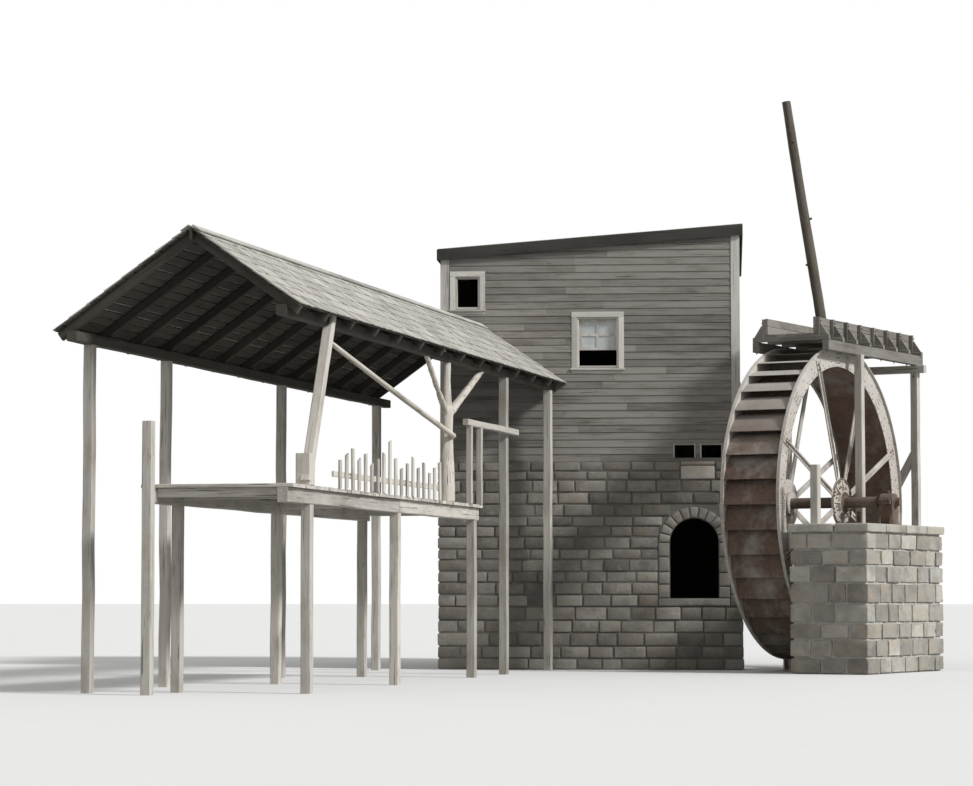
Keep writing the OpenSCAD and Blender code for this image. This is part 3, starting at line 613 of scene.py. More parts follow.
def block(shape, rng, a, b, cuts=3, edge=0.022, swell=0.010, tone=None, warp=None, flat=()):
    """Stone in the box between a and b, with worn arrises and uneven faces.

    warp takes each point on to its last place. flat names faces, as (axis, end), that stay even.
    """
    lo, hi = corners(a, b)
    stops = []
    for length in hi - lo:
        rim = min(edge * rng.uniform(0.8, 1.3), length * 0.28)
        inner = cuts - 2
        stops.append([0.0] + [rim + (length - 2 * rim) * i / inner for i in range(inner + 1)] + [length])
    seed = drawn(rng, 90, 90, 90)
    number, points = {}, []

    def point(key):
        if key not in number:
            ends = [axis for axis in range(3) if key[axis] in (0, cuts)]
            p = Vector([stops[axis][key[axis]] for axis in range(3)])
            pull = (0.0, 0.32, 0.46)[len(ends) - 1] * edge
            rough = noise.noise(seed + p * 3.1) * 0.7 + noise.noise(seed + p * 9.0) * 0.6
            rough += abs(noise.noise(seed + p * 17.0)) * 0.7
            for axis in ends:
                sign = 1 if key[axis] == 0 else -1
                even = (axis, key[axis] > 0) in flat
                p[axis] += sign * (pull + (0 if even else (0.5 + rough) * swell * (0.5 if len(ends) > 1 else 1)))
            number[key] = len(points)
            points.append(lo + p)
        return number[key]

    faces = []
    for axis in range(3):
        u, v = (axis + 1) % 3, (axis + 2) % 3
        for end in (0, cuts):
            for i in range(cuts):
                for j in range(cuts):
                    face = []
                    for di, dj in ((0, 0), (1, 0), (1, 1), (0, 1)):
                        key = [0, 0, 0]
                        key[axis], key[u], key[v] = end, i + di, j + dj
                        face.append(point(tuple(key)))
                    faces.append(tuple(face if end else reversed(face)))
    grains = [p + seed for p in points]
    if warp:
        points = [warp(p) for p in points]
    shape.add(points, faces, rng.random() if tone is None else tone, grains)


def tube(shape, rng, points, radii, sides, rough, gap=0.25):
    """Round timber through points, with its section slightly uneven."""
    points = [Vector(p) for p in points]
    spans = [(q - p).length for p, q in zip(points, points[1:])]
    total = sum(spans)
    n = max(2, round(total / gap))
    seed = drawn(rng, 50, 50, 50)
    rings, grains = [], []
    for k in range(n + 1):
        s = total * k / n
        i, start = 0, 0.0
        while i < len(spans) - 1 and start + spans[i] < s:
            start += spans[i]
            i += 1
        part = (s - start) / spans[i]
        middle = points[i].lerp(points[i + 1], part)
        along = (points[i + 1] - points[i]).normalized()
        out, side = square_to(along, Vector((0, 1, 0) if abs(along.y) < 0.8 else (1, 0, 0)))
        radius = radii[i] + (radii[i + 1] - radii[i]) * part
        ring, grain = [], []
        for j in range(sides):
            a = 2 * math.pi * j / sides
            x, y = math.cos(a), math.sin(a)
            dent = noise.noise(seed + Vector((x * 1.3, y * 1.3, s * 1.4)))
            dent += 0.45 * noise.noise(seed + Vector((x * 4, y * 4, s * 5)))
            r = radius * (1 - rough + rough * dent)
            ring.append(middle + out * (x * r) + side * (y * r))
            grain.append((s, x * r, y * r))
        rings.append(ring)
        grains.append(grain)
    loft(shape, rings, rng.random(), grains, (seed.x, seed.y * 0.2, seed.z * 0.2))


def disc(shape, centre, axis, radii, sides):
    """Turned form: radii gives (height along axis, radius) from one end to the other."""
    centre, axis = Vector(centre), Vector(axis)
    out, side = square_to(axis, Vector((0, 0, 1) if abs(axis.z) < 0.9 else (1, 0, 0)))
    turns = [2 * math.pi * i / sides for i in range(sides)]
    loft(shape, [[centre + axis * height + out * (math.cos(a) * radius) + side * (math.sin(a) * radius)
                  for a in turns] for height, radius in radii])


def rivet(shape, centre, axis, radius=0.013):
    """Round rivet head."""
    disc(shape, centre, axis, [(-0.002, radius), (0.35 * radius, radius * 0.94),
                               (0.62 * radius, radius * 0.62), (0.72 * radius, radius * 0.25)], sides=8)


def bolt(shape, centre, axis, size, rod):
    """Washer, six-sided nut and the end of the rod."""
    disc(shape, centre, axis, [(-0.002, size * 1.5), (size * 0.22, size * 1.5)], sides=16)
    disc(shape, Vector(centre) + Vector(axis) * size * 0.22, axis,
         [(0, size), (size * 0.85, size), (size * 0.95, size * 0.86)], sides=6)
    disc(shape, centre, axis, [(size, size * 0.5), (size + rod, size * 0.5), (size + rod + 0.003, size * 0.38)],
         sides=10)


def plate(shape, profile, y0, y1, tone=0.5):
    """Plate square to Y; profile gives its (x, z)."""
    loft(shape, [[(x, y, z) for x, z in profile] for y in (y0, y1)], tone)


def draws(context, number):
    """Seeded random draws of one operator."""
    return random.Random(context.scene.mill_laying.seed * 1000 + number)


def split(rng, start, end, middle, spread=0.3):
    """Cuts a run into lengths near the middle one."""
    count = max(1, round((end - start) / middle))
    shares = [rng.uniform(1 - spread, 1 + spread) for _ in range(count)]
    scale = (end - start) / sum(shares)
    cuts = [start]
    for share in shares:
        cuts.append(cuts[-1] + share * scale)
    return list(zip(cuts, cuts[1:]))


def less(spans, blocked):
    """Takes the blocked spans out of a list of spans."""
    for b0, b1 in blocked:
        spans = [(a, b) for s0, s1 in spans for a, b in ((s0, min(s1, b0)), (max(s0, b1), s1)) if b - a > 0.001]
    return spans


def masonry(shape, rng, rect, z, heights, length, joint, corner, depth, proud, blocked=None, **look):
    """Courses of stones round a rectangle, with long and short corner stones in turn.

    blocked(side, bottom, top) gives the spans of a side that stay free of stones.
    """
    x0, x1, y0, y1 = rect
    gap = joint / 2
    for row, height in enumerate(heights):
        bottom, top = z + gap, z + height - gap
        closed = {side: blocked(side, bottom, top) if blocked else [] for side in WALLS}
        reach = {}
        for n, (sx, sy) in enumerate(((0, 0), (1, 0), (1, 1), (0, 1))):
            turned = (row + n) % 2
            lx = corner[turned] * rng.uniform(0.85, 1.15)
            ly = corner[1 - turned] * rng.uniform(0.85, 1.15)
            for a, b in closed["back" if sy else "front"]:
                lx = min(lx, (x1 - b) if sx else (a - x0))
            for a, b in closed["right" if sx else "left"]:
                ly = min(ly, (y1 - b) if sy else (a - y0))
            reach[sx, sy] = (lx, ly)
            px, py = rng.uniform(*proud), rng.uniform(*proud)
            lo = (x1 - lx + gap if sx else x0 - px, y1 - ly + gap if sy else y0 - py, bottom)
            hi = (x1 + px if sx else x0 + lx - gap, y1 + py if sy else y0 + ly - gap, top)
            block(shape, rng, lo, hi, **look)
        for side, start, end in (
                ("front", x0 + reach[0, 0][0], x1 - reach[1, 0][0]),
                ("back", x0 + reach[0, 1][0], x1 - reach[1, 1][0]),
                ("left", y0 + reach[0, 0][1], y1 - reach[0, 1][1]),
                ("right", y0 + reach[1, 0][1], y1 - reach[1, 1][1])):
            for a, b in less([(start, end)], closed[side]):
                for s0, s1 in split(rng, a, b, length):
                    p = rng.uniform(*proud)
                    s0, s1 = s0 + gap, s1 - gap
                    if s1 - s0 < 0.03:
                        continue
                    lo, hi = {
                        "front": ((s0, y0 - p, bottom), (s1, y0 + depth, top)),
                        "back": ((s0, y1 - depth, bottom), (s1, y1 + p, top)),
                        "left": ((x0 - p, s0, bottom), (x0 + depth, s1, top)),
                        "right": ((x1 - depth, s0, bottom), (x1 + p, s1, top)),
                    }[side]
                    block(shape, rng, lo, hi, **look)
        z += height


def courses(rng, stops, middle):
    """Heights of courses that meet every one of the stops."""
    return [b - a for low, high in zip(stops, stops[1:]) for a, b in split(rng, low, high, middle, 0.16)]


# House: each wall is built in its own frame, from its left end, facing -Y, with Z the true height

WALLS = {
    "front": ((-HALF_W, HOUSE_FRONT), 0, 2 * HALF_W),
    "right": ((HALF_W, HOUSE_FRONT), 90, HOUSE_BACK - HOUSE_FRONT),
    "back": ((HALF_W, HOUSE_BACK), 180, 2 * HALF_W),
    "left": ((-HALF_W, HOUSE_BACK), -90, HOUSE_BACK - HOUSE_FRONT),
}
SILL_Z = 5.35
FLOOR_Z = 3.74
WINDOW = (0.74, 0.90)
CASING = 0.095
CORNER_BOARD = 0.134
CLAP_BUTT = 0.0195
CLAP_TAPER = 0.0125
JAMB = 0.035
WALL_T = 0.16
WINDOWS = [
    ("front", 2.785, SILL_Z, *WINDOW),
    ("front", 0.46, 6.41, 0.44, 0.58),
    ("back", 3.82, SILL_Z, *WINDOW),
    ("right", 4.16, SILL_Z, *WINDOW),
    ("left", 2.76, SILL_Z, *WINDOW),
]
VENTS = [("front", 4.79, FLOOR_Z, 0.39, 0.25), ("front", 4.315, FLOOR_Z, 0.39, 0.25)]
DOOR = ("back", 1.96, FLOOR_Z, 1.0, 2.05)


def wall_frame(side):
    (x, y), turn, _ = WALLS[side]
    return Matrix.Translation((x, y, 0)) @ Matrix.Rotation(math.radians(turn), 4, "Z")


def wall_top(side, s):
    """Underside of the roof over a point of a wall."""
    x = {"front": s - HALF_W, "back": HALF_W - s, "left": -HALF_W, "right": HALF_W}[side]
    return roof_top(x) - ROOF_UNDER


def clapboards(shape, rng, side, exposure):
    """Tapered boards from the foundation to the roof, cut round the openings."""
    length = WALLS[side][2]
    holes = [(s - w / 2 - margin, s + w / 2 + margin, z - below, z + h + margin)
             for openings, margin, below in ((WINDOWS, CASING, CASING), (VENTS, 0, 0), ([DOOR], CASING, FLOOR_Z))
             for where, s, z, w, h in openings if where == side]
    start, end = CORNER_BOARD, length - CORNER_BOARD
    rows = math.ceil((wall_top(side, 0 if side == "back" else length) - FOUND_H) / exposure)
    for row in range(rows):
        low = FOUND_H + row * exposure
        high = low + exposure
        for s0, s1 in split(rng, start - rng.uniform(0, 1.4), end + rng.uniform(0, 1.4), 3.1, 0.35):
            s0, s1 = max(s0, start) + 0.001, min(s1, end) - 0.001
            if s1 - s0 < 0.06:
                continue
            tone, lift = rng.random(), rng.uniform(-0.0025, 0.0025)
            shift = drawn(rng, 60, 9, 9)
            touching = [h for h in holes if h[2] < high and h[3] > low and h[0] < s1 and h[1] > s0]
            parts = [(a, b, low, high) for a, b in less([(s0, s1)], [h[:2] for h in touching])]
            for left, right, bottom, top in touching:
                parts += [(max(s0, left), min(s1, right), z0, z1)
                          for z0, z1 in ((low, bottom), (top, high)) if z1 - z0 > 0.008]
            for a, b, z0, z1 in parts:
                clap(shape, side, a, b, z0, z1, low, exposure, tone, shift, lift)


def clap(shape, side, a, b, z0, z1, low, exposure, tone, shift, lift):
    """One clapboard, thick at its lower edge, trimmed under the roof."""
    ta, tb = min(z1, wall_top(side, a)), min(z1, wall_top(side, b))
    if max(ta, tb) - z0 < 0.012:
        return
    ta, tb = max(ta, z0 + 0.002), max(tb, z0 + 0.002)

    def out(z):
        return -(CLAP_BUTT - CLAP_TAPER * (z - low) / exposure)

    d = lift if z0 == low else 0
    points = [(a, out(z0), z0 + d), (b, out(z0), z0 + d * 0.4), (b, out(tb), tb), (a, out(ta), ta),
              (a, 0.004, z0 + d), (b, 0.004, z0 + d * 0.4), (b, 0.004, tb), (a, 0.004, ta)]
    faces = [(0, 1, 2, 3), (5, 4, 7, 6), (4, 0, 3, 7), (1, 5, 6, 2), (3, 2, 6, 7), (4, 5, 1, 0)]
    shape.add(points, faces, tone, [(x, y, z - low) for x, y, z in points], shift)


def sides_of(s, z, w, h):
    """Left and right side and top of an opening."""
    return s - w / 2, s + w / 2, z + h


def window_casing(shape, rng, s, z, w, h):
    """Jambs, head, sill and casing boards of a window whose sill's middle is at s and z."""
    left, right, top = sides_of(s, z, w, h)
    joinery(shape, rng, [
        ((left, 0, z), (left + JAMB, WALL_T, top)),
        ((right - JAMB, 0, z), (right, WALL_T, top)),
        ((left + JAMB, 0, top - JAMB), (right - JAMB, WALL_T, top)),
        ((left + JAMB, 0, z), (right - JAMB, WALL_T, z + JAMB)),
        ((left - CASING, -0.025, z - 0.01), (left, 0.001, top + 0.002)),
        ((right, -0.025, z - 0.01), (right + CASING, 0.001, top + 0.002)),
        ((left - CASING, -0.028, top + 0.002), (right + CASING, 0.001, top + CASING)),
        ((left - CASING - 0.02, -0.05, z - 0.045), (right + CASING + 0.02, 0.03, z - 0.010)),
        ((left - CASING, -0.022, z - CASING), (right + CASING, 0.001, z - 0.046)),
    ])


class MILL_OT_foundation(bpy.types.Operator):
    """Rubble stones, voussoirs and lintels over the foundation walls"""

    bl_idname = "mill.foundation"
    bl_label = "Foundation stones"

    rect = (-2.68, 2.68, -0.2, 6.8)
    beds = (0, 1.11, 2.53, 3.35, FOUND_H)
    arch = (1.84, 2.24, 0.43)
    ring = 0.2
    arch_foot = 1.12
    arch_sill = 1.26
    shaft = (0.17, 0.97)
    shaft_foot = 2.54
    lintel = (0.02, 1.16)
    lintel_foot = 3.34
    pale = (1.61, 2.21)

    def closed(self, side, bottom, top):
        """Spans that the openings and their dressed stones take up."""
        x, z, r = self.arch
        outer = r + self.ring
        if side == "front" and top > self.arch_foot and bottom < z + outer:
            half = math.sqrt(outer ** 2 - max(0, bottom - z) ** 2)
            return [(x - half, x + half)]
        if side == "front" and bottom > self.lintel_foot:
            return [(self.pale[0] - 0.01, self.pale[1] + 0.01)]
        if side == "right" and top > self.shaft_foot:
            return [self.shaft if bottom < self.lintel_foot else self.lintel]
        return []

    def execute(self, context):
        laying = context.scene.mill_laying
        rng = draws(context, 1)
        coat("rubble_core", *("foundation_" + side for side in WALLS))
        shape = Shape()
        masonry(shape, rng, self.rect, 0, courses(rng, self.beds, 0.205), laying.stone, laying.joint,
                corner=(0.62, 0.34), depth=0.07, proud=(0.014, 0.034), blocked=self.closed)
        shape.piece("rubble_stones", "rubble", "house_stone", smooth=50)

        dressed = Shape()
        x, z, r = self.arch
        count = 11
        middle = r + self.ring / 2
        span = math.pi * middle / count

        def bend(p):
            turn = p.x / middle
            return Vector((x - math.cos(turn) * (r + p.y), 0.1 - p.z, z + math.sin(turn) * (r + p.y)))

        for i in range(count):
            block(dressed, rng, (i * span + 0.006, 0.004, 0), ((i + 1) * span - 0.006, self.ring, 0.325),
                  warp=bend, swell=0.006, tone=rng.uniform(0.5, 1))
        for side in (-1, 1):
            for z0, z1 in split(rng, self.arch_sill, z, 0.24, 0.2):
                block(dressed, rng, (x + side * (r + 0.004), -0.226, z0 + 0.006),
                      (x + side * (r + self.ring), 0.1, z1 - 0.006), swell=0.006, tone=rng.uniform(0.4, 0.9))
        block(dressed, rng, (x - r - self.ring, -0.235, self.arch_foot),
              (x + r + self.ring, 0.1, self.arch_sill - 0.003), cuts=6, swell=0.006, tone=0.7)
        y0, y1 = self.lintel
        block(dressed, rng, (2.2, y0 + 0.01, self.lintel_foot + 0.018), (2.705, y1 - 0.01, FOUND_H - 0.01),
              cuts=5, swell=0.006, tone=0.6)
        dressed.piece("arch_stones", "rubble", "house_stone", smooth=50)

        pale = Shape()
        x0, x1 = self.pale
        block(pale, rng, (x0, -0.235, 3.36), (x1, -0.1, 3.60), cuts=5, swell=0.006, tone=0.95)
        block(pale, rng, (x0, -0.222, 3.61), (x1, -0.1, FOUND_H - 0.006), cuts=4, swell=0.004, tone=0.3)
        pale.piece("pale_stone", "block", "house_stone", smooth=50)
        return {"FINISHED"}


class MILL_OT_siding(bpy.types.Operator):
    """Clapboards on the four frame walls"""

    bl_idname = "mill.siding"
    bl_label = "Clapboards"

    def execute(self, context):
        rng = draws(context, 2)
        for side in WALLS:
            coat("inner_boards", "wall_" + side)
            shape = Shape(wall_frame(side))
            clapboards(shape, rng, side, context.scene.mill_laying.clapboard)
            shape.piece("clapboards_" + side, "siding", "wall_boards")
        return {"FINISHED"}


class MILL_OT_trim(bpy.types.Operator):
    """Window and door casings, sashes, glass, corner boards and the floor"""

    bl_idname = "mill.trim"
    bl_label = "Windows, door and floor"

    def execute(self, context):
        rng = draws(context, 3)
        whole = Shape()
        for side, *opening in WINDOWS:
            whole.place = wall_frame(side)
            window_casing(whole, rng, *opening)
        whole.piece("window_casings", "trim", "timber", replaces="window_frames")

        side, *opening = DOOR
        door = Shape(wall_frame(side))
        z = FLOOR_Z
        left, right, top = sides_of(*opening)
        joinery(door, rng, [
            ((left, 0, z), (left + JAMB, WALL_T, top)),
            ((left - CASING, -0.025, z), (left, 0.001, top)),
            ((right - JAMB, 0, z), (right, WALL_T, top)),
            ((right, -0.025, z), (right + CASING, 0.001, top)),
            ((left, 0, top - JAMB), (right, WALL_T, top)),
            ((left - CASING, -0.028, top), (right + CASING, 0.001, top + CASING)),
            ((left, -0.035, z - 0.045), (right, WALL_T, z + 0.004)),
        ])
        door.piece("door_casing", "trim", "timber", replaces="door_frame")

        vents = Shape(wall_frame("front"))
        for _, *opening in VENTS:
            left, right, top = sides_of(*opening)
            joinery(vents, rng, [
                ((left, -0.016, z), (left + 0.02, WALL_T, top)),
                ((right - 0.02, -0.016, z), (right, WALL_T, top)),
                ((left + 0.02, -0.012, top - 0.02), (right - 0.02, WALL_T, top)),
            ])
        vents.piece("vent_linings", "timber", "timber")

        coat("sash_wood", "window_sashes")
        coat("pane", "window_glass")
        coat("corner_wood", "corner_boards")
        floor = Shape()
        lo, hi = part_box("main_floor")
        for a, b in split(rng, lo.x, hi.x, 0.24, 0.12):
            box_bar(floor, rng, (a + 0.002, lo.y, lo.z), (b - 0.002, hi.y, hi.z), **JOINERY)
        floor.piece("floor_planks", "plank", "timber", replaces="main_floor")
        return {"FINISHED"}


class MILL_OT_house_roof(bpy.types.Operator):
    """Boards with battens on the house roof, and its fascia"""

    bl_idname = "mill.house_roof"
    bl_label = "House roof"

    verge = 0.082

    def execute(self, context):
        rng = draws(context, 4)
        # Core and fascia in near-black timber: partly the fascia's own colour, partly painted shade for the shadow
        # under the eave.
        coat("roof_core", "roof", "fascia")
        shape = Shape()
        cuts = split(rng, HOUSE_FRONT - self.verge, HOUSE_BACK + self.verge, 0.25, 0.1)

        def across(y, reach, lift, width, thick):
            bar(shape, rng, (-reach, y, roof_top(-BOARD_REACH) + lift), (reach, y, roof_top(BOARD_REACH) + lift),
                width, thick, edge=0.003, wave=0.002)

        for y0, y1 in cuts:
            across((y0 + y1) / 2, BOARD_REACH + rng.uniform(-0.012, 0), lift=0.010, width=y1 - y0 - 0.005,
                   thick=0.022)
        for y, _ in cuts[1:]:
            across(y, BOARD_REACH - 0.01, lift=0.030, width=0.062, thick=0.018)
        shape.piece("roof_boards", "roof_boards", "roof_cover")
        return {"FINISHED"}


# Wheel: built in the axle's frame, whose Z is the axle


def round_axle(r, degrees, h):
    a = math.radians(degrees)
    return Vector((r * math.cos(a), r * math.sin(a), h))


def spoke(degrees):
    """Directions along and across a spoke."""
    a = math.radians(degrees)
    return Vector((math.cos(a), math.sin(a), 0)), Vector((-math.sin(a), math.cos(a), 0))


class MILL_OT_wheel(bpy.types.Operator):
    """Finishes of the wheel, with its rivets, bolts, splices and ribs"""

    bl_idname = "mill.wheel"
    bl_label = "Wheel"

    def execute(self, context):
        coat("rim_steel", "near_shroud", "far_shroud")
        coat("plate_steel", "sole_plate")
        coat("bucket_steel", "buckets")
        coat("rim_steel", "near_spider", "far_spider")
        coat("cast_iron", "wheel_shaft")
        rivets, plates, hubs = Shape(AXLE_FRAME), Shape(AXLE_FRAME), Shape(AXLE_FRAME)
        for side in (-1, 1):
            self.bucket_rivets(rivets, side)
            for i in range(ARMS):
                turn = i * 360 / ARMS
                self.arm(rivets, plates, turn + 180 / ARMS, side)
                self.splice(rivets, plates, turn + 2.2, side)
                self.gusset(plates, turn, side)
            self.hub(hubs, side)
        rivets.piece("wheel_rivets", "fastener", "wheel_steel", body="wheel", smooth=35)
        plates.piece("wheel_plates", "rim_steel", "wheel_steel", body="wheel")
        hubs.piece("wheel_hubs", "cast_iron", "cast_parts", body="wheel", smooth=35)
        return {"FINISHED"}

    def bucket_rivets(self, rivets, side):
        """Rivets of the buckets' ends and of the sole's rim angle on a shroud."""
        out, face = Vector((0, 0, side)), side * HALF_B
        for i in range(BUCKETS):
            start = i * 360 / BUCKETS
            for j in range(3):
                share = 0.12 + 0.36 * j
                r = SOLE_R + (WHEEL_R - 0.012 - SOLE_R) * share
                rivet(rivets, round_axle(r, start + 11 * share ** 2.2 - 0.45, face), out)
            for turn in (2.6, 7.1):
                rivet(rivets, round_axle(SOLE_R - 0.03, start + turn, face), out)

    def fin(self, plates, turn, side, half, profile):
        """Plate that stands on a spoke; profile gives (distance from the axle, height)."""
        u, v = spoke(turn)
        loft(plates, [[u * r + v * w + Vector((0, 0, side * h)) for r, h in profile] for w in (-half, half)])

    def arm(self, rivets, plates, turn, side):
        """Stiffening rib of an arm, and the bolts at its two ends."""
        out, top = Vector((0, 0, side)), HALF_B + 0.02
        self.fin(plates, turn, side, 0.006, [
            (0.44, top), (2.62, top), (2.62, top + 0.012), (2.50, top + 0.034), (0.62, top + 0.034),
            (0.50, top + 0.012)])
        u, v = spoke(turn)
        for r, lift, size, rod in ((2.47, 0.02, 0.013, 0.008), (2.56, 0.02, 0.013, 0.008),
                                   (0.28, 0.03, 0.014, 0.01), (0.38, 0.03, 0.014, 0.01)):
            for w in (-0.034, 0.034):
                bolt(rivets, u * r + v * w + out * (HALF_B + lift), out, size, rod)

    def gusset(self, plates, turn, side):
        """Web between the boss and the flange of a hub."""
        foot, top = HALF_B + 0.028, HALF_B + 0.076
        self.fin(plates, turn, side, 0.011, [(0.20, foot), (0.415, foot), (0.405, foot + 0.008), (0.23, top),
                                             (0.20, top)])

    def splice(self, rivets, plates, turn, side):
        """Cover plate over a joint of the shroud, riveted on both sides of it."""
        face, top = side * (HALF_B - 0.002), side * (HALF_B + 0.008)
        rows = [(SOLE_R - 0.05, -2.1), (WHEEL_R - 0.03, -2.1), (WHEEL_R - 0.03, 2.1), (SOLE_R - 0.05, 2.1)]
        loft(plates, [[round_axle(r, turn + d, h) for r, d in rows] for h in (face, top)])
        for r in (2.45, 2.54, 2.62, 2.69):
            for d in (-1.4, -0.5, 0.5, 1.4):
                rivet(rivets, round_axle(r, turn + d, top), Vector((0, 0, side)), 0.012)

    def hub(self, hubs, side):
        """Rims of the boss and flange, the shaft's collar and the key."""
        out = Vector((0, 0, side))
        foot = out * (HALF_B + 0.079)
        disc(hubs, foot, out, [(0, 0.195), (0.012, 0.185), (0.012, 0.150), (0.004, 0.140)], sides=64)
        disc(hubs, foot, out, [(0, 0.128), (0.016, 0.124), (0.019, 0.112), (0.019, 0.097)], sides=48)
        disc(hubs, out * (HALF_B + 0.03), out, [(-0.001, 0.43), (0.006, 0.427), (0.006, 0.40), (-0.001, 0.397)],
             sides=96)
        key = [(0.085, -0.018), (0.112, -0.018), (0.112, 0.018), (0.085, 0.018)]
        loft(hubs, [[Vector((x, y, 0)) + out * h for x, y in key] for h in (HALF_B + 0.05, HALF_B + 0.118)])
        for turn in (40, 130, 220, 310):
            bolt(hubs, round_axle(0.168, turn, 0) + out * (HALF_B + 0.089), out, 0.013, 0.006)


class MILL_OT_pier(bpy.types.Operator):
    """Coursed blocks and cap slabs of the wheel pier"""

    bl_idname = "mill.pier"
    bl_label = "Wheel pier"

    inset = 0.036
    overhang = 0.04

    def execute(self, context):
        rng = draws(context, 5)
        u0, u1, v0, v1 = PIER
        top = PIER_TOP - CAP_T
        core = Shape(WHEEL_FRAME)
        block(core, rng, (u0 + self.inset, v0 + self.inset, 0), (u1 - self.inset, v1 - self.inset, top + 0.035),
              cuts=8, edge=0.02, swell=0.004)
        core.piece("pier_mortar", "pier_core", "pier_stone")
        stones = Shape(WHEEL_FRAME)
        masonry(stones, rng, PIER, 0.002, courses(rng, (0, top - 0.002), 0.294), 0.56,
                context.scene.mill_laying.joint, corner=(0.62, 0.36), depth=0.12, proud=(-0.004, 0.020),
                cuts=7, edge=0.024, swell=0.021)
        stones.piece("pier_blocks", "block", "pier_stone", smooth=38, replaces="outer_pier")
        cap = Shape(WHEEL_FRAME)
        for v, w in split(rng, v0 - self.overhang, v1 + self.overhang, 0.82, 0.12):
            middle = u0 + (u1 - u0) * rng.choice((0.42, 0.58))
            for a, b in ((u0 - self.overhang, middle), (middle, u1 + self.overhang)):
                block(cap, rng, (a + 0.004, v + 0.004, top + 0.004), (b - 0.004, w - 0.004, PIER_TOP), cuts=7,
                      swell=0.014, tone=rng.uniform(0.55, 1), flat=((2, True),))
        cap.piece("cap_slabs", "block", "pier_stone", smooth=50, replaces="pier_cap")
        return {"FINISHED"}


class MILL_OT_bearings(bpy.types.Operator):
    """Cast bearing blocks with their caps, bolts and grease cups"""

    bl_idname = "mill.bearings"
    bl_label = "Bearings"

    wide = 0.147
    foot = 0.056
    flange = 0.036

    def execute(self, context):
        for name, u, seat in (("outer_bearing", 1.395, PIER_TOP), ("inner_bearing", -1.633, PIER_TOP + 0.03)):
            cast, bolts = Shape(WHEEL_FRAME), Shape(WHEEL_FRAME)
            self.housing(cast, u, seat)
            self.cap(cast, bolts, u, seat)
            cast.piece(name + "_casting", "cast_iron", "cast_parts", smooth=30, replaces=name)
            bolts.piece(name + "_bolts", "fastener", "cast_parts", smooth=35)
        return {"FINISHED"}

    def housing(self, cast, u, seat):
        """Bored ring that widens to the foot, with a lip round the journal at both ends."""
        drop = AXLE.z - seat - 0.05
        sides = 96
        angles = [2 * math.pi * i / sides for i in range(sides)]

        def outline(a, grow):
            wide = self.wide + grow
            return wide if math.sin(a) >= 0 else min(wide / max(abs(math.cos(a)), 1e-6), drop / -math.sin(a))

        half = [(0.145, lambda a: 0.0712), (0.145, lambda a: 0.100), (0.140, lambda a: 0.106),
                (0.128, lambda a: 0.108), (0.128, lambda a: outline(a, -0.008)), (0.120, lambda a: outline(a, 0))]
        rings = [(u - at, radius) for at, radius in half] + [(u + at, radius) for at, radius in reversed(half)]
        points = [(x, math.cos(a) * radius(a), AXLE.z + math.sin(a) * radius(a))
                  for x, radius in rings for a in angles]
        faces = []
        for k in range(len(rings)):
            here, there = k * sides, (k + 1) % len(rings) * sides
            faces += [(here + i, here + (i + 1) % sides, there + (i + 1) % sides, there + i) for i in range(sides)]
        cast.add(points, faces)

    def cap(self, cast, bolts, u, seat):
        """Foot plate, flanges of the split, ribs, bolts and the grease cup."""
        rng = random.Random(5)
        cast_look = {"wave": 0, "tone": 0.5}
        top, lip = AXLE.z + self.flange, 0.002
        box_bar(cast, rng, (u - 0.13, -0.22, seat), (u + 0.13, 0.22, seat + self.foot), edge=0.006, **cast_look)
        for side in (-1, 1):
            for z0, z1 in ((AXLE.z - 0.040, AXLE.z - lip), (AXLE.z + lip, top)):
                box_bar(cast, rng, (u - 0.10, side * 0.14, z0), (u + 0.10, side * 0.205, z1), edge=0.005,
                        **cast_look)
            for x in (-0.06, 0.06):
                bolt(bolts, (u + x, side * 0.178, top), (0, 0, 1), 0.015, 0.02)
                bolt(bolts, (u + x * 1.4, side * 0.19, seat + self.foot), (0, 0, 1), 0.014, 0.016)
            for x in (-0.1, 0.1):
                profile = [(0.14, 0.05), (0.212, 0.05), (0.2, 0.075), (0.14, 0.25)]
                loft(cast, [[(u + x + w, side * y, seat + z) for y, z in profile] for w in (-0.009, 0.009)])
        disc(bolts, (u, 0, AXLE.z + self.wide - 0.002), (0, 0, 1),
             [(0, 0.03), (0.006, 0.03), (0.008, 0.018), (0.02, 0.018), (0.022, 0.027), (0.045, 0.027), (0.052, 0.02)],
             sides=20)


# Flume, in the wheel's frame: X is the axle, Y the run of the water

JOIST_Z = 5.725
JOIST_W = 0.08
STRINGER_Z = 5.545
TROUGH_Z = 5.805
TROUGH_HALF = 0.475
TROUGH_T = 0.045
TROUGH_PLANK = 0.19
STRINGER = (0.6, 0.72)
FLUME_START = -1.0
FLUME_END = 3.4
BENT_V = 3.15
BENT_U = 0.66


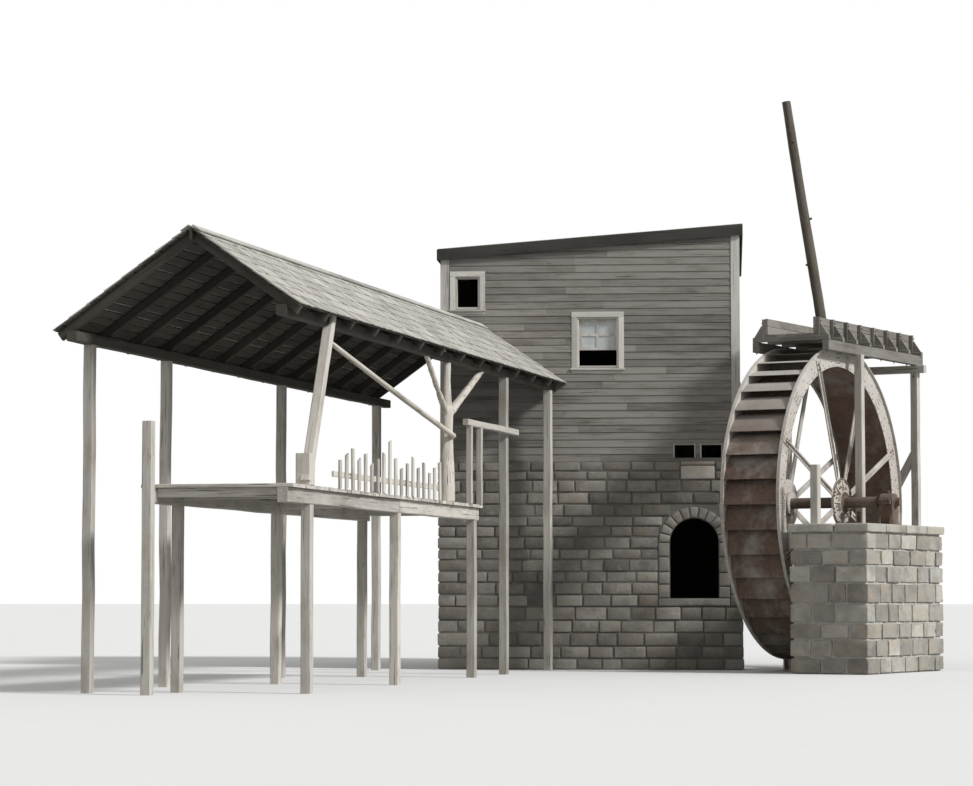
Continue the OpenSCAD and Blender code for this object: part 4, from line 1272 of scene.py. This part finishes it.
class MILL_OT_flume(bpy.types.Operator):
    """Trough, stringers, posts and bent of the flume"""

    bl_idname = "mill.flume"
    bl_label = "Flume"

    def execute(self, context):
        rng = draws(context, 6)
        irons = Shape(WHEEL_FRAME)
        run, last = FLUME_END - JOIST_W - FLUME_START, 7
        joists = [FLUME_START + i * run / last for i in range(last + 1)]
        self.trough(rng, [v + JOIST_W / 2 for v in joists])
        self.beams(rng, joists, irons)
        self.posts(rng, irons)
        self.bent(rng, irons)
        stub = Shape(WHEEL_FRAME)
        upright(stub, rng, 1.10, -2.5, PIER_TOP, 3.49, POST, wave=0.006, edge=0.012)
        stub.piece("pier_stub", "timber", "timber", replaces="stub_post")
        irons.piece("flume_irons", "fastener", "cast_parts", smooth=35)
        return {"FINISHED"}

    def trough(self, rng, middles):
        """Planks of the trough, jointed over the middles of joists."""
        trough = Shape(WHEEL_FRAME)
        for i in range(5):
            a = -TROUGH_HALF + i * TROUGH_PLANK
            meet = middles[4 if i % 2 else 3]
            for v0, v1 in ((FLUME_START + rng.uniform(0, 0.02), meet - 0.002),
                           (meet + 0.002, FLUME_END - rng.uniform(0, 0.02))):
                box_bar(trough, rng, (a + 0.002, v0, TROUGH_Z), (a + TROUGH_PLANK - 0.002, v1, TROUGH_Z + TROUGH_T),
                        **PLANED)
        for side in (-1, 1):
            for meet, z0, z1 in ((middles[5], 0.047, 0.188), (middles[3], 0.192, 0.325)):
                for v0, v1 in ((FLUME_START, meet - 0.002), (meet + 0.002, FLUME_END)):
                    box_bar(trough, rng, (side * (TROUGH_HALF - TROUGH_T), v0, TROUGH_Z + z0),
                            (side * TROUGH_HALF, v1, TROUGH_Z + z1), **PLANED)
        trough.piece("trough_planks", "flume_wood", "timber", replaces="flume_trough")

    def beams(self, rng, joists, irons):
        """Stringers, joists and the braced stakes at the trough's sides."""
        beams = Shape(WHEEL_FRAME)
        for side in (-1, 1):
            box_bar(beams, rng, (side * STRINGER[0], FLUME_START, STRINGER_Z),
                    (side * STRINGER[1], FLUME_END, JOIST_Z), **BEAM)
        for v in joists:
            jut = rng.uniform(0, 0.03)
            box_bar(beams, rng, (-STRINGER[1] + jut, v, JOIST_Z), (STRINGER[1], v + JOIST_W, TROUGH_Z))
            for side in (-1, 1):
                box_bar(beams, rng, (side * 0.478, v + 0.008, TROUGH_Z - 0.002),
                        (side * 0.545, v + 0.072, TROUGH_Z + 0.318), **PLANED)
                middle = v + JOIST_W / 2
                foot = Vector((side * 0.7, middle, TROUGH_Z))
                plate(beams, [(foot.x, foot.z), (side * 0.546, foot.z), (side * 0.546, foot.z + 0.20),
                              (side * 0.566, foot.z + 0.20)], foot.y - 0.02, foot.y + 0.02, rng.random())
                bolt(irons, (side * 0.545, middle, TROUGH_Z + 0.25), (side, 0, 0), 0.012, 0.012)
                bolt(irons, (side * 0.66, middle, STRINGER_Z), (0, 0, -1), 0.014, 0.02)
        beams.piece("flume_beams", "flume_wood", "timber", replaces="flume_stringers")

    def posts(self, rng, irons):
        """Posts beside the wheel, with iron straps at their feet."""
        posts = Shape(WHEEL_FRAME)
        v, feet = 0.33, ((0.73, PIER_TOP), (-0.67, 0.0))
        for u, z in feet:
            upright(posts, rng, u, v, z, STRINGER_Z, POST, **BEAM)
        for u, z in feet:
            strap = [(u - 0.035, z), (u + 0.035, z), (u + 0.035, z + 0.28), (u - 0.035, z + 0.28)]
            for side in (-1, 1):
                y = v + side * POST / 2
                plate(irons, strap, y - side * 0.002, y + side * 0.007)
                for h in (0.09, 0.21):
                    bolt(irons, (u, y + side * 0.007, z + h), (0, side, 0), 0.013, 0.012)
        posts.piece("side_posts", "timber", "timber", replaces="flume_posts")

    def bent(self, rng, irons):
        """Bent behind the wheel: two posts, a cap, a rail and a brace."""
        bent = Shape(WHEEL_FRAME)
        top, u, v = STRINGER_Z - POST, BENT_U, BENT_V
        for side in (-1, 1):
            upright(bent, rng, side * u, v, 0, top, POST, **BEAM)
            for z in (top - POST / 2, 1.57):
                bolt(irons, (side * u, v - POST / 2, z), (0, -1, 0), 0.014, 0.014)
        box_bar(bent, rng, (-1.36, v - POST / 2, top), (0.86, v + POST / 2, STRINGER_Z), **BEAM)
        box_bar(bent, rng, (-u, v - 0.066, 1.5), (u, v + 0.066, 1.64))
        bar(bent, rng, (-u, v, 1.64), (u, v, 3.962), 0.128, 0.128, up=(0, 1, 0))
        bent.piece("rear_bent", "timber", "timber", replaces="flume_bent")


class MILL_OT_spar(bpy.types.Operator):
    """Leaning spar, a tree with remains of bark, knots and stubs of its branches"""

    bl_idname = "mill.spar"
    bl_label = "Leaning spar"

    def execute(self, context):
        rng = draws(context, 7)
        shape = Shape(WHEEL_FRAME)
        lean = math.radians(9.2)
        v = BENT_V + POST / 2 + 0.115

        def at(s, dx=0.0, dy=0.0):
            return Vector((-0.24 - math.sin(lean) * s + dx, v + dy, math.cos(lean) * s))

        stops = [0.02, 2.2, 4.6, 7.0, 9.2, 10.83]
        bends = [(0, 0), (0.012, 0.004), (-0.010, 0.008), (0.010, 0.006), (-0.008, 0.004), (0, 0)]
        radii = [0.116, 0.113, 0.109, 0.103, 0.097, 0.088]
        tube(shape, rng, [at(s, *b) for s, b in zip(stops, bends)], radii, sides=24, gap=0.16, rough=0.06)
        for s, turn in ((6.4, 1.2), (7.6, 3.9), (8.5, 0.3), (9.3, 2.4), (10.0, 5.2)):
            away = Vector((math.cos(turn), math.sin(turn), 0.35))
            tube(shape, rng, [at(s), at(s) + away * 0.13], [0.03, 0.022], sides=10, gap=0.05, rough=0.1)
        shape.piece("leaning_spar_timber", "bark", "round_timber", smooth=60, replaces="leaning_spar")
        return {"FINISHED"}


# Shed, in its own frame: X is 0 at the front eave, Y 0 at the mill


def remeshed(shape, voxel, smoothing):
    """One skin over the shape's parts, as a mesh without attributes."""
    rough = bpy.data.meshes.new("rough")
    rough.from_pydata(shape.points, [], shape.faces)
    thing = bpy.data.objects.new("rough", rough)
    bpy.context.scene.collection.objects.link(thing)
    mod = thing.modifiers.new("Skin", "REMESH")
    mod.mode, mod.voxel_size = "VOXEL", voxel
    mod = thing.modifiers.new("Smooth", "SMOOTH")
    mod.factor, mod.iterations = 0.5, smoothing
    graph = bpy.context.evaluated_depsgraph_get()
    mesh = bpy.data.meshes.new_from_object(thing.evaluated_get(graph))
    bpy.data.objects.remove(thing)
    bpy.data.meshes.remove(rough)
    return mesh


class MILL_OT_forked_trunk(bpy.types.Operator):
    """Forked tree trunk that carries the front plate"""

    bl_idname = "mill.forked_trunk"
    bl_label = "Forked trunk"

    def execute(self, context):
        rng = draws(context, 8)
        y, top = -7.09, PLATE_FRONT_TOP - POST
        x, fork = PLATE_FRONT_X, DECK_Z + 1.44
        shape = Shape(SHED_FRAME)
        for sides, rough, radii, *stops in (
                (18, 0.07, (0.140, 0.124, 0.108, 0.110), (0, 0, DECK_Z), (0.01, -0.02, DECK_Z + 0.35),
                 (-0.01, 0.02, fork - 0.5), (0, 0, fork + 0.03)),
                (18, 0.08, (0.092, 0.075, 0.062), (0, 0, fork - 0.13), (-0.01, -0.02, fork + 0.3), (0, 0.02, top)),
                (14, 0.08, (0.060, 0.050, 0.043), (0, -0.02, fork - 0.08), (0.01, -0.62, fork + 0.30),
                 (0, -1.24, top + 0.05)),
                (14, 0.08, (0.080, 0.064, 0.054), (0, 0.02, fork - 0.10), (-0.01, 1.06, fork + 0.30),
                 (0, 2.20, top + 0.05))):
            tube(shape, rng, [(x + dx, y + dy, z) for dx, dy, z in stops], radii, sides=sides, rough=rough)
        mesh = remeshed(shape, 0.017, 4)
        mesh.name = "forked_trunk"
        grains, tones = [], []
        for vertex in mesh.vertices:
            p = SHED_FRAME.inverted() @ vertex.co
            ridge = noise.noise(Vector((p.x * 24, p.y * 24, p.z * 4))) + 0.5 * noise.noise(p * 9)
            vertex.co += vertex.normal * ridge * 0.006
            vertex.co.z = min(max(vertex.co.z, DECK_Z - 0.005), top)
            grains.append((p.z + 3, p.x, p.y))
            tones.append(0.5 + 0.4 * noise.noise(p * 1.3))
        carry(mesh, tones, grains)
        mesh.polygons.foreach_set("use_smooth", [True] * len(mesh.polygons))
        settle("forked_trunk", mesh, "peeled", replaces="forked_post")
        return {"FINISHED"}


class MILL_OT_shed_deck(bpy.types.Operator):
    """Deck of the shed: legs, beams, planks, pickets and the landing's rail"""

    bl_idname = "mill.shed_deck"
    bl_label = "Shed deck"

    under = DECK_Z - 0.05
    beam_foot = under - 0.2

    def execute(self, context):
        rng = draws(context, 9)
        self.legs(rng)
        self.planks(rng, context.scene.mill_laying.plank)
        self.pickets(rng)
        rail = Shape(SHED_FRAME)
        x0, x1, z = -0.18, -0.09, 3.98
        box_bar(rail, rng, (x0, -6.4, z), (x1, -3.1, z + 0.10), wave=0.005, edge=0.009)
        for y in (-5.535, -6.155):
            upright(rail, rng, (x0 + x1) / 2, y, DECK_Z + 0.001, z, 0.09, wave=0.003, edge=0.008)
        rail.piece("landing_rail", "timber", "timber", replaces="deck_end_rail")
        return {"FINISHED"}

    def legs(self, rng):
        """Legs in three rows, the beams on them, and the corner post that goes on up."""
        legs = Shape(SHED_FRAME)
        under, rows = self.under, (14.1, 9.94, 5.6)
        for x in (PLATE_FRONT_X, DECK_REAR_X):
            for y in rows:
                upright(legs, rng, x, -y, 0, self.beam_foot, POST, **ROUGH_POST)
            for a, b in ((DECK_NEAR, 9.95), (9.93, DECK_FAR)):
                box_bar(legs, rng, (x - POST / 2, -a, self.beam_foot), (x + POST / 2, -b, under), wave=0.005,
                        edge=0.01)
        for y in (DECK_NEAR - POST, *rows, DECK_FAR + POST):
            box_bar(legs, rng, (DECK_REAR_X, -y - POST / 2, under - 0.12), (PLATE_FRONT_X, -y + POST / 2, under))
        upright(legs, rng, DECK_REAR_X, -DECK_NEAR - POST / 2, 0, 3.575, POST, wave=0.007, edge=0.012)
        legs.piece("deck_legs", "timber", "timber", replaces="shed_underframe")

    def planks(self, rng, width):
        planks = Shape(SHED_FRAME)
        for a, b in split(rng, -DECK_NEAR, -DECK_FAR, width, 0.12):
            jut, drop = rng.uniform(0, 0.022), rng.uniform(0, 0.003)
            box_bar(planks, rng, (-2.21 + rng.uniform(0, 0.03), a + 0.004, self.under + 0.001),
                    (DECK_FRONT_X - jut, b - 0.004, DECK_Z - drop), edge=0.006, wave=0.002)
        planks.piece("deck_planks", "plank", "timber", replaces="shed_deck")

    def pickets(self, rng):
        """Row of pickets with a taller one in the middle, and the rail behind them."""
        pickets = Shape(SHED_FRAME)
        start, pitch, count, x = 7.89, 0.3, 18, DECK_FRONT_X
        for i in range(count):
            top = 0.79 if i == count // 2 else 0.60 - (i * 7 % 5) * 0.045
            y = -start - i * pitch - 0.055
            lean = rng.uniform(-0.02, 0.02)
            bar(pickets, rng, (x - 0.015, y, DECK_Z + 0.001), (x - 0.015, y + lean, DECK_Z + top - 0.03),
                0.11 * rng.uniform(0.8, 1), 0.028, up=(1, 0, 0), edge=0.004, skew=rng.uniform(-0.5, 0.5))
        box_bar(pickets, rng, (x - 0.06, -start - count * pitch, DECK_Z + 0.15), (x - 0.03, -start, DECK_Z + 0.23),
                edge=0.005)
        pickets.piece("deck_pickets", "plank", "timber", replaces="shed_pickets")


class MILL_OT_shed_frame(bpy.types.Operator):
    """Posts, plates, rafters and the rail pole of the shed"""

    bl_idname = "mill.shed_frame"
    bl_label = "Shed frame"

    def execute(self, context):
        rng = draws(context, 10)
        self.front_posts(rng)
        rear = Shape(SHED_FRAME)
        for y in (-14.6, -11.697, -6.4965, -1.2):
            upright(rear, rng, PLATE_REAR_X, y, 0, PLATE_REAR_TOP - POST, POST, wave=0.008, edge=0.013)
        rear.piece("rear_posts", "timber", "timber", replaces="shed_rear_posts")
        self.plates(rng)
        self.rafters(rng)
        pole = Shape(SHED_FRAME)
        tube(pole, rng, [(-0.158, -13.40, 4.71), (-0.150, -10.4, 4.25), (-0.142, -7.1, 3.77)],
             [0.036, 0.042, 0.046], sides=14, gap=0.2, rough=0.08)
        pole.piece("rail_pole_timber", "peeled", "round_timber", smooth=60, replaces="rail_pole")
        return {"FINISHED"}

    def front_posts(self, rng):
        """Leaning post with its split top and foot block, and the two posts near the mill."""
        posts = Shape(SHED_FRAME)
        top, front, y = PLATE_FRONT_TOP - POST, PLATE_FRONT_X + POST / 2, -13.4
        lean = top - DECK_Z
        look = {"up": (1, 0, 0), "wave": 0.006, "edge": 0.013, "tone": 0.75}
        bar(posts, rng, (front, y - 1 + 0.04 / lean, DECK_Z + 0.04), (front, y, top - 0.001), 0.132, 0.138, **look)
        bar(posts, rng, (front + 0.036, y - 0.01, top - 0.02), (front + 0.036, y + 0.19 / lean, top + 0.185),
            0.132, 0.064, **look)
        box_bar(posts, rng, (DECK_FRONT_X - 0.21, -14.408, DECK_Z + 0.001), (DECK_FRONT_X, -14.198, DECK_Z + 0.42),
                edge=0.016)
        for y in (-3.51, -0.35):
            upright(posts, rng, PLATE_FRONT_X, y, 0, top, POST, **ROUGH_POST)
        posts.piece("front_posts", "timber", "timber", replaces="shed_front_posts")

    def plates(self, rng):
        """Plates on the posts, each of two lengths, and the ridge board."""
        plates = Shape(SHED_FRAME)
        for x, z in ((PLATE_FRONT_X, PLATE_FRONT_TOP), (PLATE_REAR_X, PLATE_REAR_TOP)):
            for a, b in ((-SHED_L, -7.2), (-7.19, mill_limit(x - POST / 2))):
                box_bar(plates, rng, (x - POST / 2, a, z - POST), (x + POST / 2, b, z), wave=0.004, edge=0.01)
        box_bar(plates, rng, (RIDGE_X - 0.018, -SHED_L, rafter_under(RIDGE_X)),
                (RIDGE_X + 0.018, mill_limit(RIDGE_X - 0.02), RIDGE_Z - 0.075), edge=0.004)
        # The plates get the near-black timber of painted shade.
        plates.piece("shed_plates_timber", "painted_shade_timber", "timber", replaces="shed_plates")

    def rafters(self, rng):
        rafters = Shape(SHED_FRAME)
        pairs = 13
        step = (SHED_L - 1.2) / (pairs - 1)
        deep = RAFTER * math.cos(SLOPE)
        lift = deep / 2 / math.cos(SLOPE)
        for i in range(pairs):
            y = -SHED_L + 0.14 + i * step
            for x0, x1, way in ((-0.04, RIDGE_X + 0.02, 1), (-SHED_W + 0.04, RIDGE_X - 0.02, -1)):
                a, b = [(x, y, shed_top(x) - SHED_COVER - lift) for x in (x0, x1)]
                bar(rafters, rng, a, b, 0.08, deep, up=(way, 0, 1.4), wave=0.004, edge=0.012)
        # The rafters get the near-black timber of painted shade.
        rafters.piece("shed_rafter_poles", "painted_shade_timber", "timber", replaces="shed_rafters")


class MILL_OT_shed_roof(bpy.types.Operator):
    """Split shakes on laths over both slopes of the shed"""

    bl_idname = "mill.shed_roof"
    bl_label = "Shed roof"

    lath_pitch = 0.15
    lath_thick = 0.018

    def execute(self, context):
        rng = draws(context, 11)
        exposure = context.scene.mill_laying.shake
        for eave, run, way, name in ((0.0, -RIDGE_X, -1, "front"), (-SHED_W, SHED_W + RIDGE_X, 1, "rear")):
            rafter = run / math.cos(SLOPE)
            start = Vector((eave, 0, shed_top(eave) - SHED_COVER))
            up = Vector((way * math.cos(SLOPE), 0, math.sin(SLOPE)))
            out = Vector((-way * math.sin(SLOPE), 0, math.cos(SLOPE)))

            def at(s, y, n):
                p = start + up * s + out * n
                return (p.x, min(y, mill_limit(p.x)), p.z)

            laths = Shape(SHED_FRAME)
            for i in range(int(rafter / self.lath_pitch)):
                s = 0.02 + i * self.lath_pitch
                width = rng.uniform(0.118, 0.138)
                for a, b in split(rng, -SHED_L, mill_limit(eave - 0.02), 3.5, 0.25):
                    self.slab(laths, rng, at, (s, 0.0, self.lath_thick), (s + width, 0.0, self.lath_thick),
                              a + 0.003, b - 0.003)
            # The laths get the near-black timber of painted shade.
            laths.piece(f"shed_laths_{name}", "painted_shade_timber", "timber")

            shakes = Shape(SHED_FRAME)
            count = math.ceil(rafter / exposure)
            step = rafter / count
            for row in range(count):
                for a, b in split(rng, -SHED_L - 0.005, mill_limit(eave) + 0.005, 0.15, 0.45):
                    butt = row * step + rng.uniform(-0.014, 0.014)
                    head = min(butt + step * 2.1, rafter + 0.02)
                    if row == 0:
                        butt = rng.uniform(0.0, 0.015)
                    thick, low = rng.uniform(0.010, 0.016), 0.031 + rng.uniform(0, 0.003)
                    self.slab(shakes, rng, at, (butt, low, low + thick), (head, self.lath_thick, 0.022),
                              a + 0.002, b - 0.003)
            for a, b in split(rng, -SHED_L, mill_limit(RIDGE_X), 3.2, 0.2):
                self.slab(shakes, rng, at, (rafter - 0.13, 0.046, 0.064), (rafter + 0.006, 0.040, 0.060),
                          a + 0.002, b - 0.002)
            shakes.piece(f"shed_shakes_{name}", "shake", "roof_cover", replaces=f"shed_roof_{name}")
        return {"FINISHED"}

    def slab(self, shape, rng, at, lower, upper, y0, y1):
        """Flat tapered piece; its ends give (place up the slope, height of lower and upper face)."""
        twist = rng.uniform(-0.0015, 0.0015)
        steep = upper[0] - lower[0] > 0.2 and y1 - y0 < 1
        points, grains = [], []
        for s, *faces in (lower, upper):
            for y, t in ((y0, twist), (y1, -twist)):
                for n in faces:
                    points.append(at(s, y, n + t))
                    grains.append((s, y, n) if steep else (y, s, n))
        faces = [(0, 1, 3, 2), (4, 6, 7, 5), (0, 4, 5, 1), (2, 3, 7, 6), (1, 5, 7, 3), (0, 2, 6, 4)]
        shape.add(points, faces, rng.random(), grains, drawn(rng, 60, 9, 9))


PHOTO_WIDTH = 973
PHOTO_FOCUS = 1070
SENSOR = 36.0


class MILL_OT_stage(bpy.types.Operator):
    """Pale floor, even sky, soft lamp from the right and the camera"""

    bl_idname = "mill.stage"
    bl_label = "Stage, light and camera"

    reach = 600
    eye = (2.48, -54.2, 1.26)
    pitch = 3.85
    yaw = 4.57
    beam = (-0.80, 0.36, -0.62)

    def execute(self, context):
        scene, studio = context.scene, context.scene.mill_studio
        mesh = bpy.data.meshes.new("stage_floor")
        square = ((-1, -1), (1, -1), (1, 1), (-1, 1))
        mesh.from_pydata([(x * self.reach, y * self.reach, 0) for x, y in square], [], [(0, 1, 2, 3)])
        mesh.materials.append(finish("stage_floor"))
        self.linked(scene, "stage_floor", mesh)

        scene.world = bpy.data.worlds.new("studio")
        f = Finish(scene.world)
        strength = f.seen() * (1 - studio.sky) + studio.sky
        light = f.node("ShaderNodeBackground", {}, {"Color": (1, 1, 1), "Strength": strength})[0]
        f.node("ShaderNodeOutputWorld", {}, {"Surface": light})

        lamp = bpy.data.lights.new("soft_lamp", "SUN")
        lamp.energy, lamp.angle = studio.sun, math.radians(9)
        sun = self.linked(scene, "soft_lamp", lamp)
        sun.rotation_euler = Vector(self.beam).to_track_quat("-Z", "Y").to_euler()

        lens = bpy.data.cameras.new("view")
        lens.sensor_width, lens.lens = SENSOR, SENSOR * PHOTO_FOCUS / PHOTO_WIDTH * studio.zoom
        lens.clip_end = 2000
        scene.camera = self.linked(scene, "view", lens)
        scene.camera.location = self.eye
        scene.camera.rotation_euler = (math.radians(90 + self.pitch), 0, math.radians(self.yaw))
        scene.view_settings.view_transform = "Standard"
        return {"FINISHED"}

    def linked(self, scene, name, data):
        """A new object in the scene."""
        thing = bpy.data.objects.new(name, data)
        scene.collection.objects.link(thing)
        return thing


OPERATORS = (
    MILL_OT_stage, MILL_OT_foundation, MILL_OT_siding, MILL_OT_trim, MILL_OT_house_roof, MILL_OT_wheel,
    MILL_OT_pier, MILL_OT_bearings, MILL_OT_flume, MILL_OT_spar, MILL_OT_forked_trunk, MILL_OT_shed_deck,
    MILL_OT_shed_frame, MILL_OT_shed_roof,
)
SETTINGS = {"mill_finishes": MillFinishes, "mill_laying": MillLaying, "mill_studio": MillStudio}


class MILL_PT_sidebar(bpy.types.Panel):
    """Settings and building steps of the watermill"""

    bl_idname = "MILL_PT_sidebar"
    bl_label = "Watermill"
    bl_space_type = "VIEW_3D"
    bl_region_type = "UI"
    bl_category = "Watermill"

    def draw(self, context):
        column = self.layout.column()
        for name, group in SETTINGS.items():
            for setting in group.__annotations__:
                column.prop(getattr(context.scene, name), setting)
        for operator in OPERATORS:
            column.operator(operator.bl_idname)


CLASSES = (*SETTINGS.values(), *OPERATORS, MILL_PT_sidebar)


def register():
    for cls in CLASSES:
        bpy.utils.register_class(cls)
    for name, group in SETTINGS.items():
        setattr(bpy.types.Scene, name, bpy.props.PointerProperty(type=group))


def unregister():
    for name in SETTINGS:
        delattr(bpy.types.Scene, name)
    for cls in reversed(CLASSES):
        bpy.utils.unregister_class(cls)


def main():
    """Builds the whole view."""
    register()
    for operator in OPERATORS:
        group, name = operator.bl_idname.split(".")
        if getattr(getattr(bpy.ops, group), name)() != {"FINISHED"}:
            raise RuntimeError(f"{operator.bl_label} wasn't finished")


if __name__ == "__main__":
    main()
